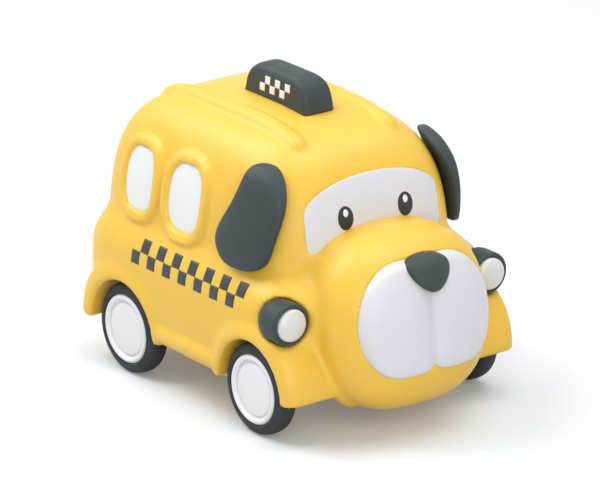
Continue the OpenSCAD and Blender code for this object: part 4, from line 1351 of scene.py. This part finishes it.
@dataclass
class Moulding:
    """The hollow moulded body with its rails, window frames, running boards, arches and seats.

    Attributes:
        form: Blended form of the body.
        panes: Side windows.
        screen: Windscreen, for its seat.
        muzzle: Muzzle, for its seat.
        sign: Roof sign, for its seat.
        lamps: Lamps, for their pockets.
        roundings: Radii of creases and edges.
        low: Lowest corner of the space that the body is drawn in.
        high: Highest corner of that space.
        step: Size of the cubes that it is drawn over.
        rear: Place behind which nothing reaches.
        base: Height of the lower edge.
        wall: Thickness of the wall.
        chin_x: Place of the wall behind the chin.
        arch: Radius of a wheel arch.
        well_in: Distance of a wheel well's inner wall from the middle plane.
        well_wall: Thickness of the wall round a wheel well or a lamp's pocket.
        pocket_x: Place along the car of the round end of a lamp's pocket.
        pocket: Radius of a lamp's pocket.
        under: Width of the moulding under the edge of a let-in piece.
        sink: Depth of a window's seat.
        glass: Height of a window's face over the form, and its drop at the edge.
        sides: Distance from the middle plane beyond which the side windows lie.
        behind: Place behind which the back window lies.
        back_pane: Width, height and middle height of the back window.
        back_square: Squareness of the back window.
        frame_wide: Width of a window's frame.
        frame_rise: Rise of a window's frame.
        frame_square: Squareness of a frame's section.
        rail_y: Distance of a roof rail from the middle plane.
        rail_ends: Rear and front end of a rail.
        rail_half: Half width of a rail, and its rise.
        rail_sink: Depth of a rail's middle under the form.
        rail_above: Height above which the rails lie.
        board: Distance of a running board from the middle plane, its height, and its radius.
        board_ends: Rear and front end of a running board.
        sign_lap: Width of the roof under the sign's edge.
        mouth_at: Middle of the opening in the underside, along the car.
        mouth: Half length, half width and half height of that opening.
    """

    form: CarForm
    panes: tuple[Pane, ...]
    screen: Windscreen
    muzzle: Muzzle
    sign: RoofSign
    lamps: Lamps
    roundings: Roundings = Roundings()
    low: Triple = (-54.2, -37.4, 4.2)
    high: Triple = (52.6, 37.4, 73.4)
    step: float = 0.78
    rear: float = -52.84
    base: float = 11.3
    wall: float = 2.4
    chin_x: float = 29.7
    arch: float = 12.8
    well_in: float = 24.0
    well_wall: float = 1.8
    pocket_x: float = 29.6
    pocket: float = 5.6
    under: float = 0.4
    sink: float = 1.2
    glass: Pair = (0.32, 0.16)
    sides: float = 15.0
    behind: float = -30.0
    back_pane: Triple = (30.0, 14.0, 54.0)
    back_square: float = 3.0
    frame_wide: float = 2.7
    frame_rise: float = 1.3
    frame_square: float = 3.0
    rail_y: float = 14.0
    rail_ends: Pair = (-37.8, 14.2)
    rail_half: Pair = (2.3, 1.9)
    rail_sink: float = 0.35
    rail_above: float = 50.0
    board: Triple = (32.5, 14.6, 2.8)
    board_ends: Pair = (-16.0, 8.4)
    sign_lap: float = 0.5
    mouth_at: float = -7.3
    mouth: Triple = (34.6, 20.2, 4.6)

    def frame_tube(self, outline: Array, skin: Array) -> Array:
        """Distance to a raised frame: a flat-topped band that runs round an outline on the skin.

        The shares across the band and of its rise are added by the superellipse rule, and what they have over
        one is scaled by the rise.

        Args:
            outline: Distances to the outline.
            skin: Distances to the plain form.

        Returns:
            Distances.
        """
        half, power = self.frame_wide / 2, self.frame_square
        share = (np.abs(outline - half) / half) ** power + (np.abs(skin) / self.frame_rise) ** power
        return (share ** (1.0 / power) - 1.0) * self.frame_rise

    def back_outline(self, p: Array) -> Array:
        """Distance to the back window's outline seen from behind."""
        width, height, z = self.back_pane
        return oval_distance(p[..., 1], p[..., 2] - z, width / 2, height / 2, self.back_square)

    def raised(self, p: Array, skin: Array) -> Array:
        """The form with all that stands up from it.

        Args:
            p: Points.
            skin: Distances to the plain form.

        Returns:
            Distances.
        """
        trim = self.roundings.trim
        y = np.abs(p[..., 1])
        past = np.maximum(np.maximum(self.rail_ends[0] - p[..., 0], p[..., 0] - self.rail_ends[1]), 0.0)
        half, rise = self.rail_half
        flat = np.hypot(y - self.rail_y, past) / half
        rail = (np.hypot(flat, (skin + self.rail_sink) / rise) - 1.0) * rise
        value = np.where(p[..., 2] > self.rail_above, soft_union(skin, rail, trim), skin)
        for pane in self.panes:
            band = self.frame_tube(pane.distance(p), skin)
            value = np.where(y > self.sides, soft_union(value, band, trim), value)
        band = self.frame_tube(self.back_outline(p), skin)
        value = np.where(p[..., 0] < self.behind, soft_union(value, band, trim), value)
        along = np.clip(p[..., 0], *self.board_ends)
        out, up, r = self.board
        board = np.sqrt((p[..., 0] - along) ** 2 + (y - out) ** 2 + (p[..., 2] - up) ** 2) - r
        return soft_union(value, board, self.roundings.board)

    def wells(self, p: Array, grow: float) -> Array:
        """Distance to the four wheel wells.

        Args:
            p: Points.
            grow: Thickness by which they are grown.

        Returns:
            Distances, below zero inside a well.
        """
        z = p[..., 2] - self.form.axle_z
        front, rear = [np.hypot(p[..., 0] - x, z) for x in (self.form.front_x, self.form.rear_x)]
        away = np.minimum(front, rear) - self.arch - grow
        return soft_common(away, self.well_in - grow - np.abs(p[..., 1]), self.roundings.well)

    def lamp_pockets(self, p: Array, grow: float) -> Array:
        """Distance to the two round pockets for the lamps, open to the front.

        Args:
            p: Points.
            grow: Thickness by which they are grown.

        Returns:
            Distances, below zero inside a pocket.
        """
        back = np.minimum(p[..., 0] - self.pocket_x, 0.0)
        out, up = np.abs(p[..., 1]) - self.lamps.y, p[..., 2] - self.lamps.z
        return np.sqrt(back**2 + out**2 + up**2) - self.pocket - grow

    def seats(self, p: Array, skin: Array) -> Array:
        """Distance to the seats of windows, windscreen, cheeks and sign.

        Args:
            p: Points.
            skin: Distances to the plain form.

        Returns:
            Distances, below zero inside a seat.
        """
        depth = -(skin + self.sink)
        y = np.abs(p[..., 1])
        value = np.full(skin.shape, FAR)
        for pane in self.panes:
            seat = np.maximum(pane.distance(p) + self.under, depth)
            value = np.minimum(value, np.where(y > self.sides, seat, FAR))
        seat = np.maximum(self.back_outline(p) + self.under, depth)
        value = np.minimum(value, np.where(p[..., 0] < self.behind, seat, FAR))
        value = np.minimum(value, self.screen.seat(p, self.under))
        value = np.minimum(value, self.muzzle.seat(p, self.under))
        long, wide = self.sign.length / 2 - self.sign_lap, self.sign.width / 2 - self.sign_lap
        beside = np.maximum(np.abs(p[..., 0] - self.sign.x) - long, y - wide)
        return np.minimum(value, np.maximum(beside, self.sign.foot - p[..., 2]))

    def hollow(self, p: Array) -> Array:
        """Distance to the hollow inside the wall, clear of wells, lamp pockets and chin wall.

        Args:
            p: Points.

        Returns:
            Distances, below zero inside the hollow.
        """
        value = np.minimum(self.form.cabin_value(p), self.form.tub_value(p))
        value = np.minimum(value, self.form.snout_value(p)) + self.wall
        value = np.maximum(value, -self.wells(p, self.well_wall))
        value = np.maximum(value, -self.lamp_pockets(p, self.well_wall))
        chin = np.abs(p[..., 0] - self.chin_x - self.wall / 2) - self.wall / 2
        chin = np.maximum(chin, p[..., 2] - self.base - self.wall)
        mouth = (np.abs(p - vec(self.mouth_at, 0.0, self.base)) - np.array(self.mouth)).max(-1)
        return np.minimum(np.maximum(value, -chin), mouth)

    def value(self, p: Array) -> Array:
        """Distance to the whole moulding.

        Args:
            p: Points.

        Returns:
            Distances.
        """
        edges = self.roundings
        skin = self.form.value(p)
        value = self.raised(p, skin)
        chin = np.maximum(self.form.snout_value(p) - self.wall / 2, self.chin_x - p[..., 0])
        value = soft_common(value, np.minimum(self.base - p[..., 2], chin), edges.base)
        value = soft_cut(value, self.wells(p, 0.0), edges.arch)
        value = soft_cut(value, self.lamp_pockets(p, 0.0), edges.seat)
        value = soft_cut(value, self.seats(p, skin), edges.seat)
        return np.maximum(value, -self.hollow(p))

    def build(self, maker: Maker) -> None:
        """Makes the body and its panes.

        Args:
            maker: Maker of pieces.
        """
        surface = netted(self.value, vec(*self.low), vec(*self.high), self.step)
        surface.points[:, 0] = np.maximum(surface.points[:, 0], self.rear)
        maker.make("moulded_body", surface, Body.CAR, "body_yellow", ["body_shell"])
        for pane in self.panes:
            self.build_pane(maker, pane)
        width, height, z = self.back_pane

        def place(turn: Array, share: Array) -> Array:
            """Start of a ray to the back window."""
            u, v = oval(turn, width / 2, height / 2, self.back_square)
            return points_at(self.form.cabin_at[0], -share * u, z + share * v)

        face = rounded_face(*self.glass)
        pane = PatchGrid().closed(self.form.value, vec(-1, 0, 0), place, face, -self.sink)
        maker.make("back_pane", pane, Body.CAR, "panel_white", ["back_window"])

    def build_pane(self, maker: Maker, pane: Pane) -> None:
        """Makes a side window on both sides.

        Args:
            maker: Maker of pieces.
            pane: The window.
        """

        def place(turn: Array, share: Array) -> Array:
            """Start of a ray to the window."""
            u, v = oval(turn, pane.length / 2, pane.height / 2, pane.square)
            return points_at(pane.x + share * u, 0.0, pane.z + share * v)

        face = rounded_face(*self.glass)
        glass = PatchGrid().closed(self.form.value, vec(0, -1, 0), place, face, -self.sink)
        maker.make_pair("pane_{}_" + pane.name, glass, "panel_white", ["window_{}_" + pane.name])


@dataclass
class Ears:
    """The two drooping ears along the cabin's sides.

    Attributes:
        form: Form of the car.
        x: Middle along the car.
        z: Middle height.
        length: Length along the car.
        height: Height.
        square: Squareness of the outline.
        sway: Sway of the middle line to both sides.
        sway_turn: Turn of the sway over the half height, in degrees.
        sway_from: Share of the half height at which the sway starts below the middle.
        flare: Share of the length that it gains towards its tip.
        thick: Thickness.
        pillow: Powers that round its outline and its face.
        root: Share of the thickness that it gains towards its top, where it folds over.
        root_over: Share of the half height where that gain starts, and the share that it runs over.
        crown_back: Distance by which the top of an ear bows back.
        bend: Place along the car where it leaves the cabin's corner.
        bend_over: Length over which it leaves it.
        turn_in: Inward turn ahead of that place.
        gap: Distance from the cabin.
        count: Points round an ear.
        rows: Rings from its face to its back.
    """

    form: CarForm
    x: float = 15.8
    z: float = 52.6
    length: float = 16.8
    height: float = 25.2
    square: float = 2.7
    sway: float = 1.6
    sway_turn: float = 170.0
    sway_from: float = 0.12
    flare: float = 0.3
    thick: float = 4.1
    pillow: Pair = (0.5, 0.6)
    root: float = 0.25
    root_over: Pair = (0.2, 0.6)
    crown_back: float = 0.6
    bend: float = 18.7
    bend_over: float = 6.0
    turn_in: float = 0.2
    gap: float = 0.3
    count: int = 120
    rows: int = 30

    def build(self, maker: Maker) -> None:
        """Makes both ears: a pillow over a swaying outline, cast on to levels of the form that it hugs.

        The middle line sways by a sine of the height, the length shrinks evenly with the height, and the level
        runs from face to back by a power of the cosine.

        Args:
            maker: Maker of pieces.
        """
        over = np.linspace(0.0, math.pi, self.rows + 2)[:, None]
        rim_power, face_power = self.pillow
        share = np.sin(over) ** rim_power
        u, v = oval(full_turn(self.count)[None], self.length / 2, self.height / 2, self.square)
        tilt = share * v / (self.height / 2)
        start, run = self.root_over
        thick = self.thick * (1.0 + self.root * np.clip((tilt - start) / run, 0.0, 1.0))
        level = self.gap + thick * (0.5 + 0.5 * signed_power(np.cos(over), face_power))
        sway = self.sway * np.sin(np.radians(self.sway_turn) * (tilt + self.sway_from))
        bow = self.crown_back * np.clip(2.0 * tilt - 1.0, 0.0, 1.0) ** 2
        x = self.x + share * u * (1.0 - self.flare * tilt) + sway - bow
        back = soft_union(x, self.bend, self.bend_over)
        points = cast(self.form.value, points_at(back, 0.0, self.z + share * v), vec(0, -1, 0), level)
        points += (x - back)[..., None] * vec(1.0, self.turn_in, 0.0)
        leaf = ringed(points[0, 0], points[1:-1], points[-1, 0])
        maker.make_pair("ear_leaf_{}", leaf, "charcoal", ["ear_{}"])


@dataclass
class Wheels:
    """The four wheels: soft tyres on dished hubs.

    Attributes:
        form: Form of the car, for the axles' places.
        inner: Distance of a wheel's inner face from the middle plane.
        width: Width of a tyre.
        tyre: Radius of a tyre.
        hub: Radius of a hub.
        fit: Room between tyre and hub.
        corners: Length of the rounding on a tyre and on a hub.
        count: Points round a wheel.
    """

    form: CarForm
    inner: float = 28.0
    width: float = 6.2
    tyre: float = 11.6
    hub: float = 8.85
    fit: float = 0.02
    corners: Pair = (0.9, 0.35)
    count: int = 128

    def build(self, maker: Maker) -> None:
        """Makes tyres and hubs.

        Args:
            maker: Maker of pieces.
        """
        parts = (("tyre", self.tyre_ring(), "tyre"), ("hub", self.hub_disc(), "hub_white"))
        axles = (
            ("front", Body.FRONT_WHEELS, self.form.front_x),
            ("rear", Body.REAR_WHEELS, self.form.rear_x),
        )
        for axle, body, x in axles:
            for side in Side:
                for name, part, slot in parts:
                    place = f"{name}_{axle}_{side.word}"
                    maker.make(f"wheel_{place}", self.on_axle(part, x, side), body, slot, [place])

    def tyre_ring(self) -> Surface:
        """A tyre about the +X line: flat walls, soft shoulders and a flat tread, drawn from its bead.

        Returns:
            The surface.
        """
        w, t, bead = self.width, self.tyre, self.hub + self.fit
        half = [(bead, 0.25), (bead + 0.5, 0.0), (t - 2.2, 0.0), (t - 0.35, 0.95), (t, 2.4)]
        other = [(radius, w - along) for radius, along in half[::-1]]
        return hooped(half + other, self.count, self.corners[0])

    def hub_disc(self) -> Surface:
        """A hub about the +X line, drawn from its boss behind over its rim and groove to its face.

        Returns:
            The surface.
        """
        w, h = self.width, self.hub
        boss = [(0.0, -3.6), (2.8, -3.6), (2.8, 0.0), (h - 0.3, 0.0), (h, 0.15)]
        rim = [(h, w - 0.6), (8.3, w - 0.05), (7.75, w - 0.05), (7.3, w - 0.5)]
        groove = [(7.2, w - 1.4), (6.7, w - 1.4), (6.55, w - 0.6)]
        face = [(5.0, w - 0.5), (2.5, w - 0.45), (0.0, w - 0.45)]
        return lathed(boss + rim + groove + face, self.count, self.corners[1])

    def on_axle(self, part: Surface, x: float, side: Side) -> Surface:
        """A turned part set on an axle, its outer face away from the car.

        Args:
            part: Surface about the +X line.
            x: Place of the axle.
            side: Side of the wheel.

        Returns:
            The placed surface.
        """
        along, up, over = part.points.T
        right = points_at(x + over, -(self.inner + along), self.form.axle_z + up)
        return Surface(right, part.quads, part.tris).on_side(side)


@dataclass(frozen=True)
class SoftLight:
    """A soft square lamp that faces the car.

    Attributes:
        name: Its name.
        at: Its place in millimetres.
        size: Its side in millimetres.
        watts: Its power.
        faces: Point that it faces.
    """

    name: str
    at: Triple
    size: float
    watts: float
    faces: Triple = (0.0, 0.0, 35.0)

    def build(self) -> None:
        """Adds the lamp to the scene."""
        data = bpy.data.lights.new(self.name, "AREA")
        data.size = self.size * MM
        data.energy = self.watts
        lamp = bpy.data.objects.new(self.name, data)
        lamp.location = Vector(self.at) * MM
        lamp.rotation_mode = "QUATERNION"
        lamp.rotation_quaternion = (Vector(self.faces) - Vector(self.at)).to_track_quat("-Z", "Y")
        bpy.context.scene.collection.objects.link(lamp)


@dataclass
class Studio:
    """Floor, lights, world and camera.

    Attributes:
        azimuth: Turn of the camera round the car, in degrees.
        elevation: Height of the camera over the horizon, in degrees.
        scale: Pixels of the photo per millimetre.
        pixels: Width of the photo.
        distance: Distance of the camera in millimetres.
        sensor: Width of the camera's sensor in millimetres.
        sight: Distance in metres to which the camera sees.
        aim: Shift of the aim from the car's middle, to the right and up, in millimetres.
        middle: Middle of the car along it and in height.
        floor_half: Half width of the floor in millimetres.
        floor_bounce: Colour of the floor for the light that it sends back.
        floor_tint: Colour of the floor in sight.
        paling: Distances from the car, in metres, between which the floor pales.
        glow: Share of plain white in the floor near the car and far from it.
        ambient: Strength of the world's light, and of its white in sight.
        lights: Soft lamps.
    """

    azimuth: float = 53.0
    elevation: float = 19.6
    scale: float = 4.06
    pixels: float = 600.0
    distance: float = 1500.0
    sensor: float = 36.0
    sight: float = 100.0
    aim: Pair = (-2.32, -3.79)
    middle: Pair = (0.7, 38.0)
    floor_half: float = 3000.0
    floor_bounce: Triple = (0.62, 0.62, 0.63)
    floor_tint: Triple = (0.91, 0.96, 1.0)
    paling: Pair = (0.14, 0.6)
    glow: Pair = (0.12, 1.0)
    ambient: Pair = (0.42, 1.0)
    lights: tuple[SoftLight, ...] = (
        SoftLight("key_light", (-300.0, -240.0, 520.0), 420.0, 2.5),
        SoftLight("fill_light", (460.0, -240.0, 200.0), 460.0, 1.2),
        SoftLight("top_light", (80.0, 160.0, 600.0), 460.0, 1.6),
    )

    def build(self) -> None:
        """Sets up the whole stage."""
        self.camera()
        self.floor()
        self.world()
        for light in self.lights:
            light.build()
        bpy.context.scene.view_settings.view_transform = "Standard"

    def axes(self) -> tuple[Vector, Vector, Vector]:
        """Camera's right, up and back directions.

        Returns:
            The three directions.
        """
        a, e = math.radians(self.azimuth), math.radians(self.elevation)
        back = Vector((math.sin(a) * math.cos(e), -math.cos(a) * math.cos(e), math.sin(e)))
        right = Vector((math.cos(a), math.sin(a), 0.0))
        return right, back.cross(right), back

    def camera(self) -> None:
        """Places the camera at the photo's angle."""
        right, up, back = self.axes()
        aim = Vector((self.middle[0], 0.0, self.middle[1])) + right * self.aim[0] + up * self.aim[1]
        data = bpy.data.cameras.new("camera")
        data.sensor_width = self.sensor
        data.lens = self.scale * self.distance * self.sensor / self.pixels
        data.clip_end = self.sight
        camera = bpy.data.objects.new("camera", data)
        camera.location = (aim + back * self.distance) * MM
        camera.rotation_mode = "QUATERNION"
        camera.rotation_quaternion = (-back).to_track_quat("-Z", "Y")
        bpy.context.scene.collection.objects.link(camera)
        bpy.context.scene.camera = camera

    def floor(self) -> None:
        """Makes the pale floor, lighter in sight than in the light it sends back, and paling outwards."""
        half = self.floor_half
        corners = np.array([(-half, -half, 0.0), (half, -half, 0.0), (half, half, 0.0), (-half, half, 0.0)])
        mesh = bpy.data.meshes.new("floor")
        mesh.from_pydata((corners * MM).tolist(), [], [(0, 1, 2, 3)])
        mesh.materials.append(self.floor_material())
        floor = bpy.data.objects.new("floor", mesh)
        bpy.context.scene.collection.objects.link(floor)

    def floor_material(self) -> bpy.types.Material:
        """Builds the floor's nodes: a plain diffuse floor that gives way to white with the distance.

        Returns:
            The material.
        """
        material = bpy.data.materials.new("floor")
        material.use_nodes = True
        tree = material.node_tree
        tree.nodes.clear()
        seen = self.seen(tree)
        tints = {"Factor": seen, "A": (*self.floor_bounce, 1.0), "B": (*self.floor_tint, 1.0)}
        tint = add_node(tree, "Mix", tints, data_type="RGBA")
        diffuse = add_node(tree, "BsdfDiffuse", {"Color": tint.outputs["Result"]})
        place = add_node(tree, "TexCoord").outputs["Object"]
        away = add_node(tree, "VectorMath", {0: place}, operation="LENGTH").outputs["Value"]
        pale = ranged(tree, away, self.paling, self.glow, interpolation_type="SMOOTHSTEP")
        share = add_node(tree, "Math", {0: seen, 1: pale}, operation="MULTIPLY").outputs["Value"]
        white = add_node(tree, "Emission").outputs["Emission"]
        blend = add_node(tree, "MixShader", {"Fac": share, 1: diffuse.outputs["BSDF"], 2: white})
        add_node(tree, "OutputMaterial", {"Surface": blend.outputs["Shader"]})
        return material

    @staticmethod
    def seen(tree: Tree) -> Socket:
        """One for rays that show a thing itself, by camera, gloss or clear piece, and nought for others.

        Args:
            tree: Tree of nodes.

        Returns:
            Socket of the number.
        """
        rays = add_node(tree, "LightPath").outputs
        total = rays["Is Camera Ray"]
        for other in ("Is Glossy Ray", "Is Transmission Ray"):
            total = add_node(tree, "Math", {0: total, 1: rays[other]}, operation="MAXIMUM").outputs["Value"]
        return total

    def world(self) -> None:
        """Makes the world: soft light, and plain white where the camera or a gloss sees it."""
        world = bpy.data.worlds.new("studio")
        bpy.context.scene.world = world
        world.use_nodes = True
        tree = world.node_tree
        background = tree.nodes["Background"]
        background.inputs["Color"].default_value = (1.0, 1.0, 1.0, 1.0)
        strength = ranged(tree, self.seen(tree), (0.0, 1.0), self.ambient)
        tree.links.new(strength, background.inputs["Strength"])


PANES = (Pane("front", -11.1, 50.2, 13.2, 16.6), Pane("rear", -30.1, 50.2, 11.6, 15.8))

KEPT = {
    "body_yellow": ("chassis",),
    "steel": ("base_screws", "front_axle", "rear_axle", "idler_shaft", "flywheel_shaft"),
    "gear_nylon": ("drive_gear", "idler_gear"),
    "brass": ("flywheel",),
    "case_black": ("motor_case", "motor_cover"),
}


def main() -> None:
    """Builds the car's pieces in order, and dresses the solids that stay."""
    logging.basicConfig(level=logging.INFO, format="%(name)s %(message)s")
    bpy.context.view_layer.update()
    Studio().build()
    maker = Maker({finish.slot: finish.material() for finish in FINISHES})
    form = CarForm()
    screen, muzzle, sign, lamps = Windscreen(form), Muzzle(form), RoofSign(), Lamps()
    moulding = Moulding(form, PANES, screen, muzzle, sign, lamps)
    parts: tuple[SubAssembly, ...] = (
        moulding, screen, muzzle, Ears(form), sign, CheckBand(form), lamps, Wheels(form)
    )
    for part in parts:
        part.build(maker)
    for slot, nodes in KEPT.items():
        for node in nodes:
            maker.dress(node, slot)


if __name__ == "__main__":
    main()
